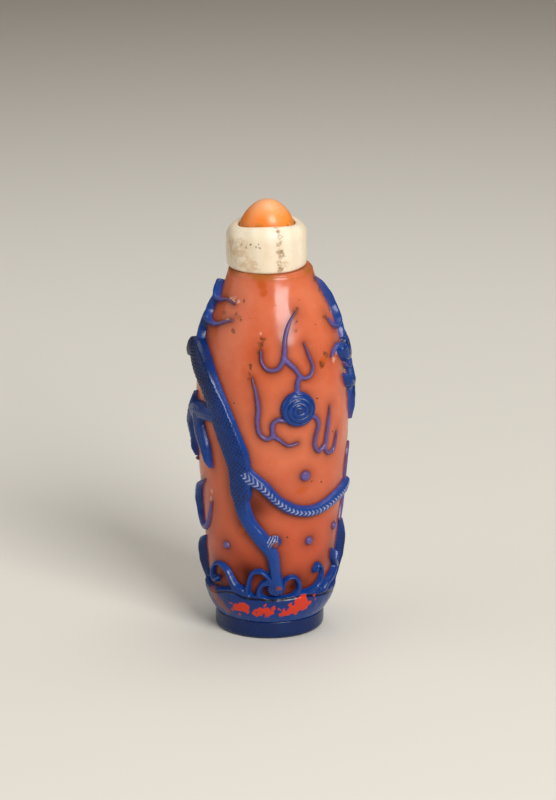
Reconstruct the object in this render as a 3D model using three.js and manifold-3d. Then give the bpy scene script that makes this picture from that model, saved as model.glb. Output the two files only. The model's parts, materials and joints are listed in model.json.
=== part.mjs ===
// A snuff bottle of pink glass under a carved layer of blue glass, with its stopper.
// Millimetres, +Z up. The origin is the centre of the foot's underside, and the front,
// with the flaming pearl, faces -Y. Angles run round the bottle from the front, in
// degrees, positive to the right as one looks at the front.
import * as THREE from "three";
import { mergeVertices } from "three/addons/utils/BufferGeometryUtils.js";
import Module from "manifold-3d";

const wasm = await Module();
wasm.setup();

// Driving dimensions of the vessel
const bottleHeight = 67;
const lipRadius = 7.3;
const lipRounding = 0.5;
const shoulder = { height: 54.4, radius: 12 };
const belly = { height: 42, radius: 13.62 };
const waist = { height: 16.4, radius: 11.8 };
const ankle = { height: 3.3, radius: 9.3 };
const bellyBow = 0.5; // the hand-made body bows this far to the right at half height
const neckLean = 0.25; // and its neck leans this far to the right at the lip
const wall = 2.2;
const mouthRadius = 3.5;
const neckDepth = 5.5;
const floorThickness = 3.2;

// The blue foot and the sea round the base
const footRadius = 9.75;
const footRounding = 0.8;
const footRecessRadius = 7.2;
const footRecessDepth = 1.1;
const seaTop = 8.7;
const seaRadius = 12.2;
const seaLedge = 0.55;

// The relief of the blue layer over the pink ground
const trunkRelief = 1.5;
const shoulderRelief = 2.5; // the trunk stands out further where it comes over the shoulder
const headRelief = 1.5;
const limbRelief = 1.2;
const waveRelief = 1.15;
const crestRelief = 1.65; // the tall crests at the two sides stand out further
const flameRelief = 0.75;
const studRelief = 0.6;
const narrowRelief = 0.4; // share of the relief left at a stroke's finest point
const rooting = 0.5; // how deep a carved piece is fused into the ground
const carvingHeight = 67; // the carving is drawn for a bottle this tall, and grows with it
const pearl = { angle: 19.5, height: 44.2, radius: 3.2, relief: 1.3 };

// The stopper
const collarHeight = 7.9;
const collarRadius = 7.24;
const collarFootRounding = 0.7;
const collarTopDrop = 2.5; // the rim's outside is rounded from this far below its top
const rimSlant = 1.6; // degrees by which the bone's top is cut out of level
const rimSaddle = 0.35; // the rim dips this far at its two sides, and rises at front and back
const rimBevel = 0.25;
const seatDepth = 2.4;
const plugRadius = 2.5;
const plugLength = 3.6;
const plugChamfer = 0.4;
const plugPlay = 0.3; // clearance round the plug in the mouth
const seatPlay = 0.12; // clearance round the cap in its seat
const capRadius = 4.9;
const capDrop = 1; // how far the centre of the cap's ball lies under the rim

// Fineness of the facets
const aroundBottle = 40;
const aroundHollow = 24;
const aroundStopper = 32;

const radians = THREE.MathUtils.degToRad;
const between = (a, b, share) => a + (b - a) * share;

// Monotone cubic through [height, radius] stations, lowest first.
function smoothThrough(stations) {
  const last = stations.length - 1;
  const run = (i) => stations[i + 1][0] - stations[i][0];
  const rise = (i) => (stations[i + 1][1] - stations[i][1]) / run(i);
  const slope = stations.map((_, i) => {
    if (i === 0) return rise(0);
    if (i === last) return rise(last - 1);
    if (rise(i - 1) * rise(i) <= 0) return 0;
    return (2 * rise(i - 1) * rise(i)) / (rise(i - 1) + rise(i));
  });
  return (height) => {
    let i = 0;
    while (i < last - 1 && height > stations[i + 1][0]) i++;
    const t = THREE.MathUtils.clamp((height - stations[i][0]) / run(i), 0, 1);
    const along = between(stations[i][1], stations[i + 1][1], t * t * (3 - 2 * t));
    const leaving = slope[i] * t * (1 - t) * (1 - t);
    const arriving = slope[i + 1] * t * t * (t - 1);
    return along + run(i) * (leaving + arriving);
  };
}

// The pink ground's outer radius at a height: full at the belly, drawn in to the lip.
function station(low, high, heightShare, radiusShare) {
  return [
    between(low.height, high.height, heightShare),
    between(low.radius, high.radius, radiusShare),
  ];
}
const lip = { height: bottleHeight, radius: lipRadius };
const groundRadius = smoothThrough([
  station(ankle, waist, 0, 0),
  station(ankle, waist, 0.36, 0.56),
  station(waist, belly, 0, 0),
  station(waist, belly, 0.3, 0.38),
  station(waist, belly, 0.65, 0.85),
  station(belly, shoulder, 0, 0),
  station(belly, shoulder, 0.48, 0.23),
  station(shoulder, lip, 0, 0),
  station(shoulder, lip, 0.44, 0.41),
  station(shoulder, lip, 0.78, 0.82),
  station(lip, lip, 0, 0),
]);
const bow = (height) => {
  const share = height / bottleHeight;
  return bellyBow * Math.sin(Math.PI * share) + neckLean * share ** 4;
};

// A geometry as a closed solid, with shared corners merged and collapsed faces dropped.
function solidOf(geometry) {
  const bare = new THREE.BufferGeometry();
  bare.setAttribute("position", geometry.getAttribute("position"));
  if (geometry.index) bare.setIndex(geometry.index);
  const merged = mergeVertices(bare, 1e-4);
  const corners = merged.index.array;
  const kept = [];
  for (let i = 0; i < corners.length; i += 3) {
    const [a, b, c] = [corners[i], corners[i + 1], corners[i + 2]];
    if (a !== b && b !== c && c !== a) kept.push(a, b, c);
  }
  const mesh = new wasm.Mesh({
    numProp: 3,
    vertProperties: Float32Array.from(merged.getAttribute("position").array),
    triVerts: Uint32Array.from(kept),
  });
  return new wasm.Manifold(mesh);
}

// A solid back as a geometry with flat facets.
function geometryOf(solid) {
  const mesh = solid.getMesh();
  const geometry = new THREE.BufferGeometry();
  geometry.setAttribute("position", new THREE.BufferAttribute(mesh.vertProperties, 3));
  geometry.setIndex(new THREE.BufferAttribute(mesh.triVerts, 1));
  const faceted = geometry.toNonIndexed();
  faceted.computeVertexNormals();
  return faceted;
}

// A [radius, height] profile turned about +Z, its seam at the back.
function turned(profile, segments) {
  const points = profile.map(([radius, height]) => new THREE.Vector2(radius, height));
  const lathe = new THREE.LatheGeometry(points, segments, Math.PI);
  return lathe.rotateX(Math.PI / 2);
}

// Points of a rounded edge from one direction to another, as [radius, height].
function rounding(centreRadius, centreHeight, size, fromDegrees, toDegrees, steps) {
  return Array.from({ length: steps + 1 }, (_, i) => {
    const a = radians(between(fromDegrees, toDegrees, i / steps));
    return [centreRadius + size * Math.cos(a), centreHeight + size * Math.sin(a)];
  });
}

// Shifts a turned geometry sideways so that it follows the body's bow.
function bowed(geometry) {
  const place = geometry.getAttribute("position");
  for (let i = 0; i < place.count; i++) {
    place.setX(i, place.getX(i) + bow(place.getZ(i)));
  }
  return geometry;
}

// The outside: recessed foot, sea, body and lip.
function outerForm() {
  const rows = 13;
  const recessTaper = 0.5;
  const grooveDepth = 0.15;
  const profile = [
    [0, footRecessDepth],
    [footRecessRadius - recessTaper, footRecessDepth],
    [footRecessRadius, 0],
    ...rounding(footRadius - footRounding, footRounding, footRounding, -90, 0, 3),
    [footRadius, ankle.height - grooveDepth],
    [footRadius - grooveDepth, ankle.height],
    [between(footRadius, seaRadius, 0.3), between(ankle.height, seaTop, 0.22)],
    [between(footRadius, seaRadius, 0.62), between(ankle.height, seaTop, 0.5)],
    [between(footRadius, seaRadius, 0.9), between(ankle.height, seaTop, 0.82)],
    [seaRadius, seaTop],
  ];
  const lipStart = bottleHeight - lipRounding;
  for (let i = 0; i <= rows; i++) {
    const height = between(seaTop + seaLedge, lipStart, i / rows);
    profile.push([groundRadius(height), height]);
  }
  profile.push(...rounding(lipRadius - lipRounding, lipStart, lipRounding, 30, 90, 2));
  profile.push([0, bottleHeight]);
  return solidOf(bowed(turned(profile, aroundBottle)));
}

// The hollow: a wall's thickness inside the ground, narrowing to a bored mouth.
function hollow() {
  const rows = 8;
  const floorRise = 2;
  const floor = footRecessDepth + floorThickness;
  const neckBottom = bottleHeight - neckDepth;
  const top = neckBottom - neckDepth * 0.9;
  const low = groundRadius(floor + floorRise) - wall;
  const profile = [
    [0, floor],
    [low * 0.6, floor],
    [low * 0.87, floor + floorRise * 0.25],
  ];
  for (let i = 0; i <= rows; i++) {
    const height = between(floor + floorRise, top, i / rows);
    profile.push([groundRadius(height) - wall, height]);
  }
  profile.push([mouthRadius, neckBottom], [mouthRadius, bottleHeight + 1]);
  profile.push([0, bottleHeight + 1]);
  return solidOf(bowed(turned(profile, aroundHollow)));
}

// A point on the ground at an angle and height, lifted along the surface's normal.
function onGround(angle, height, lift) {
  const step = 0.2;
  const rise = groundRadius(height + step) - groundRadius(height - step);
  const lean = Math.atan(rise / (2 * step));
  const reach = groundRadius(height) + lift * Math.cos(lean);
  return new THREE.Vector3(
    bow(height) + reach * Math.sin(angle),
    -reach * Math.cos(angle),
    height - lift * Math.sin(lean),
  );
}

// A closed skin over rings of points, all with the same count.
function loft(rings) {
  const count = rings[0].length;
  const position = rings.flat().flatMap((p) => [p.x, p.y, p.z]);
  const faces = [];
  for (let r = 0; r < rings.length - 1; r++) {
    for (let k = 0; k < count; k++) {
      const a = r * count + k;
      const b = r * count + ((k + 1) % count);
      faces.push(a, a + count, b, b, a + count, b + count);
    }
  }
  const end = (rings.length - 1) * count;
  for (let k = 1; k < count - 1; k++) {
    faces.push(0, k, k + 1);
    faces.push(end, end + k + 1, end + k);
  }
  const geometry = new THREE.BufferGeometry();
  geometry.setAttribute("position", new THREE.Float32BufferAttribute(position, 3));
  geometry.setIndex(faces);
  return geometry;
}

// Cross-sections of a carved ridge, as [share of the half width, share of the relief].
const rooted = null; // this edge of the section is sunk into the ground
const thin = [[-1.05, rooted], [-0.7, 1], [0.7, 1], [1.05, rooted]];
const broad = [[-1, rooted], [-0.85, 0.65], [-0.35, 1], [0.35, 1], [0.85, 0.65], [1, rooted]];

// The value at a share of the way along values that are spread evenly.
function spread(values, share) {
  const place = share * (values.length - 1);
  const near = Math.min(Math.floor(place), Math.max(0, values.length - 2));
  return between(values[near], values[near + 1] ?? values[near], place - near);
}

// One ridge of the blue layer. Its path is [degrees, height] points, and its half widths,
// and its reliefs where they vary, are spread evenly along it.
function ridge({ path, half, relief, section = thin, spacing = 1.5 }) {
  const growth = bottleHeight / carvingHeight;
  const flat = path.map(([degrees, height]) => {
    return new THREE.Vector3(radians(degrees) * belly.radius, height * growth, 0);
  });
  const curve = new THREE.CatmullRomCurve3(flat, false, "centripetal");
  const steps = Math.max(2, Math.round(curve.getLength() / spacing));
  const rings = [];
  for (let i = 0; i <= steps; i++) {
    const at = curve.getPointAt(i / steps);
    const along = curve.getTangentAt(i / steps);
    const width = spread(half, i / steps);
    const taper = Math.min(1, narrowRelief + width); // narrow ends are lower too
    const height = spread([relief].flat(), i / steps) * taper;
    const narrowing = groundRadius(at.y) / belly.radius;
    const across = new THREE.Vector2(-along.y, along.x * narrowing).normalize();
    const ring = section.map(([share, up]) => {
      const angle = at.x / belly.radius + (share * width * across.x) / groundRadius(at.y);
      const lift = up === rooted ? -rooting : up * height;
      return onGround(angle, at.y + share * width * across.y, lift);
    });
    rings.push(ring);
  }
  return solidOf(loft(rings));
}

// A round boss standing on the ground, such as the pearl or a small stud.
function boss(degrees, height, radius, relief, segments = 8) {
  const growth = bottleHeight / carvingHeight;
  const sag = (radius * radius) / (2 * groundRadius(height * growth));
  const profile = [
    [0, -rooting - sag],
    [radius, -rooting - sag],
    [radius, relief * 0.35],
    [radius * 0.75, relief * 0.85],
    [0, relief],
  ];
  const dome = turned(profile, segments);
  const foot = onGround(radians(degrees), height * growth, 0);
  const out = onGround(radians(degrees), height * growth, 1).sub(foot);
  const up = new THREE.Vector3(0, 0, 1);
  dome.applyQuaternion(new THREE.Quaternion().setFromUnitVectors(up, out));
  dome.translate(foot.x, foot.y, foot.z);
  return solidOf(dome);
}

// The dragon's trunk comes from its neck at the right, round the back, over the left
// shoulder and down to the hip at the front, where its hind leg and tail part.
function dragonTrunk() {
  const back = {
    path: [
      [108, 49.5], [120, 46.6], [132, 38.6], [147, 34], [161, 33.4], [174, 36],
      [192, 41.6], [209, 45.2], [230, 48.2], [250, 50.2], [267, 51.4],
    ],
    half: [1.9, 2, 2.1, 2.2, 2],
    relief: [trunkRelief, trunkRelief, trunkRelief, shoulderRelief],
  };
  const flank = {
    path: [
      [267, 51.4], [281, 52.2], [292, 51.2], [304.5, 48.3], [315.8, 44.3], [326.5, 38.7],
      [333.8, 34], [335.6, 28.6],
    ],
    half: [2, 2.15, 2.1, 2.4, 2.35, 2.1],
    relief: [shoulderRelief, shoulderRelief, trunkRelief, trunkRelief, trunkRelief],
  };
  const trunk = { section: broad, spacing: 3 };
  return [ridge({ ...back, ...trunk }), ridge({ ...flank, ...trunk })];
}

function hindLegAndTail() {
  const leg = {
    path: [
      [335.4, 30.5], [335, 26.8], [340.8, 22.8], [352.8, 19.4], [361.4, 16.4], [364, 12.8],
      [367.5, 10.3],
    ],
    half: [2, 1.6, 1.35, 1.45, 1.35, 1.2, 1.3],
  };
  const tail = {
    path: [
      [338, 32.2], [352, 30.1], [366, 26.9], [381, 25], [398, 24.7], [419, 25.9],
      [444.5, 27],
    ],
    half: [1.6, 1.2, 1.1, 1.1, 1.15, 1.2, 1.2],
  };
  return [
    ridge({ ...leg, relief: limbRelief, section: broad, spacing: 2.4 }),
    ridge({ ...tail, relief: limbRelief, spacing: 2.4 }),
    boss(2.4, 19.3, 1.25, trunkRelief),
    boss(5, 10.2, 1.7, waveRelief),
  ];
}

// The head looks towards the pearl from the right, its jaws open, with horns and mane.
function dragonHead() {
  const skull = { path: [[111, 50.4], [104, 51.8], [95, 52]], half: [2.2, 3, 2.7] };
  const snout = { path: [[93, 51.6], [84, 51], [77, 51.2], [72.5, 52.4]], half: [2.1, 1.5, 1.2, 1.2] };
  const parts = [
    {
      path: [[106, 48.4], [97, 46.4], [86, 45.6], [77, 46.2], [72, 47.8]],
      half: [1.8, 1.3, 1, 0.9, 0.4],
      relief: headRelief,
    },
    { path: [[94, 48.8], [87, 48.4], [80, 48.8], [76, 49.8]], half: [0.6, 0.5, 0.2] },
    { path: [[85, 53.9], [91, 55.4], [98, 55.9], [105, 54.6]], half: [0.35, 0.8, 0.8, 0.4] },
    { path: [[101, 55], [106, 57.2], [113, 58.6], [121, 58.4]], half: [1, 0.8, 0.55, 0.2] },
    { path: [[109, 57.8], [110.5, 59.8], [115, 61.4]], half: [0.6, 0.45, 0.2] },
    { path: [[109, 53.4], [116, 55.2], [124, 54.6]], half: [1, 0.9, 0.2] },
    { path: [[114, 52.2], [122, 52.2], [129, 50.2], [137, 50.6]], half: [1.1, 0.95, 0.6, 0.2] },
    { path: [[115, 50.2], [124, 49.4], [131, 46], [139, 45.4]], half: [1, 0.85, 0.55, 0.2] },
    { path: [[108, 48], [108, 44.6], [112, 41.8], [118, 40.6]], half: [1.3, 1, 0.6, 0.2] },
    { path: [[100, 46.8], [99, 43.8], [103, 41.2], [109, 39.8]], half: [1, 0.85, 0.5, 0.2] },
    {
      path: [[95, 45.8], [89.5, 43.6], [88, 41.2], [92, 38.4]],
      half: [1.1, 0.9, 0.6, 0.25],
      relief: between(limbRelief, headRelief, 0.4),
    },
    { path: [[77, 52.8], [70, 53.4], [62, 53], [56, 52.2]], half: [0.5, 0.35, 0.2] },
  ];
  const solids = [skull, snout].map((part) => {
    return ridge({ ...part, relief: headRelief, section: broad, spacing: 2.4 });
  });
  const locks = parts.map((part) => ridge({ relief: limbRelief, spacing: 2.3, ...part }));
  return [...solids, ...locks, boss(88.5, 53, 0.8, headRelief, 6)];
}

// The other three legs, each a shank that ends in claws.
function otherLegs() {
  const left = [
    { path: [[316, 42.2], [303, 42], [290, 41.6], [277, 40.8]], half: [1.5, 1.6, 1.8, 1.7] },
    { path: [[290, 41.4], [292, 38.6], [300, 35.6], [307, 32]], half: [1.7, 1.8, 1.35, 0.35] },
    {
      path: [[277, 40.8], [271, 38.4], [271.5, 35.4], [278, 32.2]],
      half: [1.7, 1.55, 1.1, 0.35],
      relief: [trunkRelief, trunkRelief * 1.15, limbRelief, limbRelief],
    },
    { path: [[271, 40.6], [262.5, 39], [257, 36.8], [254, 34.4]], half: [1.6, 1.15, 0.75, 0.3] },
    { path: [[281, 42], [280.5, 43.4], [281, 44.4]], half: [0.8, 0.45, 0.25] },
  ].map((part) => ({ relief: between(limbRelief, trunkRelief, 0.5), ...part }));
  const right = [
    { path: [[144, 36], [137, 34.4], [131, 31.8], [125, 31.6]], half: [2, 1.5, 1.1, 1] },
    { path: [[127, 31.5], [118, 33.4], [112, 36.4]], half: [0.9, 0.7, 0.25] },
    { path: [[126, 31.3], [116, 30.9], [109.5, 32.6]], half: [0.9, 0.65, 0.25] },
    { path: [[126, 31], [120, 28.4], [117, 25.4]], half: [0.9, 0.65, 0.25] },
  ];
  const behind = [
    { path: [[184, 38.4], [196, 37], [205, 33.2], [199, 28.6]], half: [2.1, 1.6, 1.2, 1] },
    { path: [[199, 29.4], [192, 25.6], [188, 21]], half: [0.95, 0.7, 0.25] },
    { path: [[199.5, 29.2], [200, 24.6], [202, 20.2]], half: [0.95, 0.7, 0.25] },
    { path: [[200, 29.4], [208, 26.4], [214, 22.6]], half: [0.95, 0.7, 0.25] },
  ];
  return [...left, ...right, ...behind].map((part) => {
    return ridge({ relief: limbRelief, spacing: 2.2, ...part });
  });
}

// The flames that stream from the pearl, thin and forked.
function flames() {
  const tongues = [
    { path: [[26, 60.8], [18, 59.2], [12.6, 56.9], [10, 53]], half: [0.22, 0.42, 0.48] },
    { path: [[10, 53.2], [14, 52.3], [18.5, 51.3], [22.5, 49.8]], half: [0.5, 0.45] },
    { path: [[22.5, 49.9], [20.2, 49], [19.3, 47]], half: [0.5, 0.55] },
    {
      path: [[22, 49.8], [27, 49.5], [32, 50], [34.2, 51.4], [32, 53.2], [29, 55.4]],
      half: [0.42, 0.38, 0.22],
    },
    {
      path: [[10, 53], [5, 51.5], [-3, 51.3], [-8, 52.6], [-9, 54.5]],
      half: [0.5, 0.42, 0.22],
    },
    { path: [[8.5, 42.3], [4, 42.4], [0.2, 41.4], [0.6, 39.4]], half: [0.5, 0.42] },
    {
      path: [
        [1.4, 39.5], [-4, 38.9], [-9, 39.7], [-11, 42], [-10.4, 44.4], [-12.4, 47.4],
        [-15.3, 49.8],
      ],
      half: [0.42, 0.4, 0.45, 0.15],
    },
    { path: [[0, 39.6], [6, 38.6], [12, 37.6], [19, 37.9]], half: [0.4, 0.3] },
    {
      path: [
        [29, 42.7], [34, 42.2], [36.4, 40.8], [34.2, 38.8], [33.4, 37], [37, 35.8],
        [43.3, 36.8],
      ],
      half: [0.5, 0.42, 0.42],
    },
    { path: [[43, 36.2], [44.6, 38.6], [48, 43.6]], half: [0.4, 0.42, 0.18] },
    { path: [[42, 36.4], [46.5, 35], [52, 35.2], [56.4, 38.3]], half: [0.4, 0.38, 0.22] },
  ];
  const streams = tongues.map((tongue) => ridge({ ...tongue, relief: flameRelief }));
  return [boss(pearl.angle, pearl.height, pearl.radius, pearl.relief, 20), ...streams];
}

// Clouds: loose curled wisps round the shoulders, on the flanks and on the back.
function clouds() {
  const bold = between(flameRelief, trunkRelief, 0.9);
  const faint = flameRelief * 0.6;
  const leftSide = [
    {
      path: [[-94, 63.3], [-86, 62.4], [-74, 61.3], [-58, 62], [-43, 61.7]],
      half: [0.85, 0.6, 0.35, 0.2],
      relief: [bold, bold, flameRelief, faint],
    },
    {
      path: [[-79, 61.4], [-83, 59.4], [-78, 57.7], [-63, 57.5], [-50, 58.4], [-41, 59]],
      half: [0.6, 0.65, 0.45, 0.25],
      relief: [bold, bold, flameRelief, faint],
    },
    { path: [[-82, 58.2], [-84, 56.4], [-83, 54.6], [-79, 52.6]], half: [0.7, 0.85, 1.2], relief: bold },
    {
      path: [[-67, 28.6], [-80, 26.6], [-89, 23], [-85, 19.8], [-75, 19.1], [-66, 20.8], [-58, 25]],
      half: [0.35, 0.85, 0.8, 0.6, 0.5, 0.25],
      relief: [flameRelief, bold, flameRelief, flameRelief],
    },
  ];
  const rightSide = [
    {
      path: [[78, 65.2], [87, 63.8], [93, 61.6], [96, 59.2], [90, 56.9], [80, 56.3], [72, 56.9], [66, 58.4]],
      half: [0.3, 0.65, 0.65, 0.7, 0.5, 0.3],
      relief: [flameRelief, bold, bold, flameRelief],
    },
    {
      path: [[86, 34.4], [81, 33], [78.5, 30.6], [80.5, 28], [85, 25.2], [84, 22.6], [79, 20.4]],
      half: [0.25, 0.4, 0.38, 0.42, 0.4],
    },
  ];
  const behind = [
    { path: [[143, 62.6], [151, 60.6], [159, 57.6], [158, 54.6], [151, 54.8]], half: [0.25, 0.55, 0.4] },
    { path: [[159, 56.6], [168, 55.4], [176, 57], [184, 60.6]], half: [0.45, 0.5, 0.25] },
    { path: [[148, 43.4], [155, 46.6], [164, 47.4], [170, 44.8], [166, 42.4]], half: [0.25, 0.55, 0.4] },
    { path: [[203, 51], [212, 53.2], [222, 53.4], [231, 56], [240, 60.2]], half: [0.25, 0.55, 0.25] },
    { path: [[221, 53.4], [226, 56.6], [222, 59.2], [215, 58.2]], half: [0.45, 0.5, 0.3] },
    { path: [[218, 39.4], [227, 37], [236, 38.2], [243, 42]], half: [0.25, 0.55, 0.3] },
    { path: [[146, 27.4], [154, 25.4], [164, 26], [170, 28.8], [165, 31.2]], half: [0.25, 0.55, 0.4] },
    { path: [[220, 31.2], [229, 29.2], [239, 30], [247, 33.4]], half: [0.25, 0.55, 0.25] },
    { path: [[238, 30.2], [243, 27.4], [251, 26.4]], half: [0.45, 0.25] },
  ];
  return [...leftSide, ...rightSide, ...behind].map((wisp) => {
    return ridge({ relief: flameRelief, spacing: 1.9, ...wisp });
  });
}

// Drops of spray, as [degrees, height, radius].
function studs() {
  const drops = [
    [26, 31.6, 1], [33.2, 18.8, 0.85], [65, 20, 0.8], [-42, 17.6, 0.78], [118, 22, 0.85],
    [146, 52.6, 0.8], [168, 22.4, 0.85], [228, 22.6, 0.85], [247, 45.4, 0.8], [-84, 31.5, 0.6],
  ];
  return drops.map(([degrees, height, radius]) => boss(degrees, height, radius, studRelief));
}

// Wave crests that rise from the sea and curl over.
function waves() {
  const seaTopAsDrawn = 8.7;
  const seaShift = (seaTop * carvingHeight) / bottleHeight - seaTopAsDrawn;
  const front = [
    { path: [[-62, 8.6], [-47, 9], [-33, 9.3], [-18, 8.7]], half: [0.4, 0.7, 0.7, 0.4] },
    {
      path: [
        [-28, 9.2], [-34, 10.1], [-38, 11.6], [-42, 12.9], [-49, 13.6], [-57, 13.3], [-63, 12],
        [-64.5, 10.5], [-60, 10], [-56, 10.6],
      ],
      half: [1.1, 0.6, 0.45, 0.45, 0.55],
    },
    {
      path: [[-22, 8.6], [-20, 11.2], [-16, 13.1], [-9, 13.5], [-2, 12.4], [3, 11]],
      half: [0.65, 0.5, 0.55, 0.7],
    },
    { path: [[-8, 7.8], [-10.8, 9.4], [-8.4, 10.9], [-2, 11.5], [4, 11]], half: [0.75, 0.6, 0.7] },
    {
      path: [[10, 10.2], [13.4, 11.9], [19.8, 12.3], [25, 11.3], [26.4, 9.8], [23.5, 8.8]],
      half: [0.7, 0.5, 0.5],
    },
    {
      path: [[27, 8.6], [37, 8.9], [46.5, 9.6], [51, 11.2], [49.5, 13], [44.5, 13.7], [42, 12.8]],
      half: [0.8, 0.65, 0.5, 0.5, 0.6],
    },
    { path: [[55, 8.2], [63, 9.6], [71, 10.3], [79, 11.8], [84, 13.8]], half: [0.7, 0.7, 0.4] },
    {
      path: [[93, 8.6], [94, 12], [92, 15], [87.5, 18], [80, 20.4]],
      half: [1, 0.8, 0.6, 0.3],
      relief: [waveRelief, crestRelief, crestRelief, waveRelief],
    },
    { path: [[87, 11], [76, 12.4], [69, 13.7], [67.5, 15.2]], half: [0.6, 0.6, 0.4] },
    {
      path: [[-99, 8.6], [-94, 11.6], [-91, 14.2], [-86, 16.2], [-79, 17]],
      half: [1, 0.75, 0.35],
      relief: [waveRelief, crestRelief, crestRelief, waveRelief],
    },
  ];
  // Round the back the same curl repeats, leaning one way and then the other.
  const backCurls = 6;
  const backFrom = 108;
  const backTo = 252;
  const curl = [[-9, -0.2], [-6, 2], [0, 4], [6.5, 3.7], [8.6, 1.9], [4.5, 1]];
  const back = Array.from({ length: backCurls }, (_, i) => {
    const middle = between(backFrom, backTo, (i + 0.5) / backCurls);
    const way = i % 2 ? -1.15 : 1.15;
    const tallness = i % 3 === 1 ? 1.3 : 1;
    const path = curl.map(([degrees, height]) => {
      return [middle + way * degrees, seaTopAsDrawn + height * tallness];
    });
    return { path, half: [0.9, 0.6, 0.5] };
  });
  return [...front, ...back].map((crest) => {
    const path = crest.path.map(([degrees, height]) => [degrees, height + seaShift]);
    return ridge({ relief: waveRelief, spacing: 1.6, ...crest, path });
  });
}

function bottleGeometry() {
  const facetTolerance = 0.05;
  const blocks = [
    outerForm(),
    ...dragonTrunk(),
    ...hindLegAndTail(),
    ...dragonHead(),
    ...otherLegs(),
    ...flames(),
    ...clouds(),
    ...studs(),
    ...waves(),
  ];
  const carved = wasm.Manifold.union(blocks).asOriginal().simplify(facetTolerance);
  return geometryOf(carved.subtract(hollow()));
}

// The bone's top is cut out of level: everything above its foot rises to the right. Above
// the seat's floor it also rises at the front and back, and dips at the sides.
function slanted(geometry) {
  const slope = Math.tan(radians(rimSlant));
  const place = geometry.getAttribute("position");
  for (let i = 0; i < place.count; i++) {
    const [x, y, z] = [place.getX(i), place.getY(i), place.getZ(i)];
    const saddle = (y * y - x * x) / Math.max(x * x + y * y, capRadius * capRadius);
    const aboveSeat = Math.max(0, z - collarHeight + seatDepth) / seatDepth;
    const rise = (x * slope * Math.max(0, z)) / collarHeight + saddle * rimSaddle * aboveSeat;
    place.setZ(i, z + rise);
  }
  return geometry;
}

// The bone collar: a barrel with a seat for the cap, and a plug that enters the mouth.
function collarGeometry() {
  const barrelBulge = 0.15;
  const foot = collarRadius - barrelBulge - collarFootRounding;
  const seat = capRadius + seatPlay;
  const rimInside = seat + rimBevel;
  const profile = [
    [0, -plugLength],
    [plugRadius - plugChamfer, -plugLength],
    [plugRadius, plugChamfer - plugLength],
    [plugRadius, 0],
    ...rounding(foot, collarFootRounding, collarFootRounding, -90, 0, 3),
    [collarRadius, collarHeight * 0.4],
    ...rounding(0, 0, 1, 0, 90, 4).map(([out, up]) => [
      between(rimInside, collarRadius, out),
      collarHeight - collarTopDrop * (1 - up),
    ]),
    [seat, collarHeight - rimBevel],
    [seat, collarHeight - seatDepth],
    [0, collarHeight - seatDepth],
  ];
  return slanted(turned(profile, aroundStopper));
}

// The cap: the upper part of a ball, cut flat where it rests on the seat's floor.
function capGeometry() {
  const centre = collarHeight - capDrop;
  const floor = collarHeight - seatDepth;
  const lowest = THREE.MathUtils.radToDeg(Math.asin((floor - centre) / capRadius));
  const profile = [[0, floor], ...rounding(0, centre, capRadius, lowest, 80, 7)];
  profile.push([0, centre + capRadius]);
  return slanted(turned(profile, aroundStopper));
}

const materials = {
  glass: new THREE.MeshStandardMaterial({ color: 0xc8664c, roughness: 0.15, metalness: 0 }),
  bone: new THREE.MeshStandardMaterial({ color: 0xe9dcc0, roughness: 0.45, metalness: 0 }),
  amber: new THREE.MeshStandardMaterial({ color: 0xe8883c, roughness: 0.2, metalness: 0 }),
};

function named(name, geometry, material) {
  const mesh = new THREE.Mesh(geometry, material);
  mesh.name = name;
  return mesh;
}

// The stopper sits on the lip, pushed to the left as far as its plug lets it.
const stopper = new THREE.Group();
stopper.add(named("stopper_collar", collarGeometry(), materials.bone));
stopper.add(named("stopper_cap", capGeometry(), materials.amber));
stopper.position.set(bow(bottleHeight) + plugRadius + plugPlay - mouthRadius, 0, bottleHeight);

const snuffBottle = new THREE.Group();
snuffBottle.add(named("bottle", bottleGeometry(), materials.glass));
snuffBottle.add(stopper);

export default snuffBottle;
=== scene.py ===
# A snuff bottle of coral pink glass under a carved layer of blue glass, with a bone stopper.
import json
import math
import bpy
import numpy as np
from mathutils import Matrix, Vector

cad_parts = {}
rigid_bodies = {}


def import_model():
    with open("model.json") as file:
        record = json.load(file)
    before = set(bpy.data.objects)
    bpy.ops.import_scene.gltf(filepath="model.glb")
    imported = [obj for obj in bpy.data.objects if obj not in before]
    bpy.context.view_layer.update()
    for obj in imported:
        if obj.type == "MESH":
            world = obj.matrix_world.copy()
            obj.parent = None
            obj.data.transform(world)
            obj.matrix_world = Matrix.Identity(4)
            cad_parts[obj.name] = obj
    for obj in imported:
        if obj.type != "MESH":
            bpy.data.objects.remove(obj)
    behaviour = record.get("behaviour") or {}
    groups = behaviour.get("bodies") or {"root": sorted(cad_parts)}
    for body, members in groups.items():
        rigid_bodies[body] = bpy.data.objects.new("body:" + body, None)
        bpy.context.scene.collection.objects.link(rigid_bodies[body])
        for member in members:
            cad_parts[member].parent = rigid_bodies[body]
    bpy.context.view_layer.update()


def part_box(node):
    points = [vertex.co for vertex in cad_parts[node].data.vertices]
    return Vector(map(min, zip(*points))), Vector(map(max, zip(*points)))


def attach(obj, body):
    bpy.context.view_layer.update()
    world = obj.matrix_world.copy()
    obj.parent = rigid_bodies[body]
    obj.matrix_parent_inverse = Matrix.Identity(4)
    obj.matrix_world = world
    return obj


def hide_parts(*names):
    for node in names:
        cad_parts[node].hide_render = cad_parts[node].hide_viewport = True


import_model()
mm = 0.001  # the sizes below are in millimetres, and the meshes in metres
fullTurn = 2 * math.pi

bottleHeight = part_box("bottle")[1][2] / mm
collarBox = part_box("stopper_collar")
stopperShift = (collarBox[0][0] + collarBox[1][0]) / 2 / mm  # the stopper sits off the bottle's axis
rng = np.random.default_rng(41)


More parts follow.
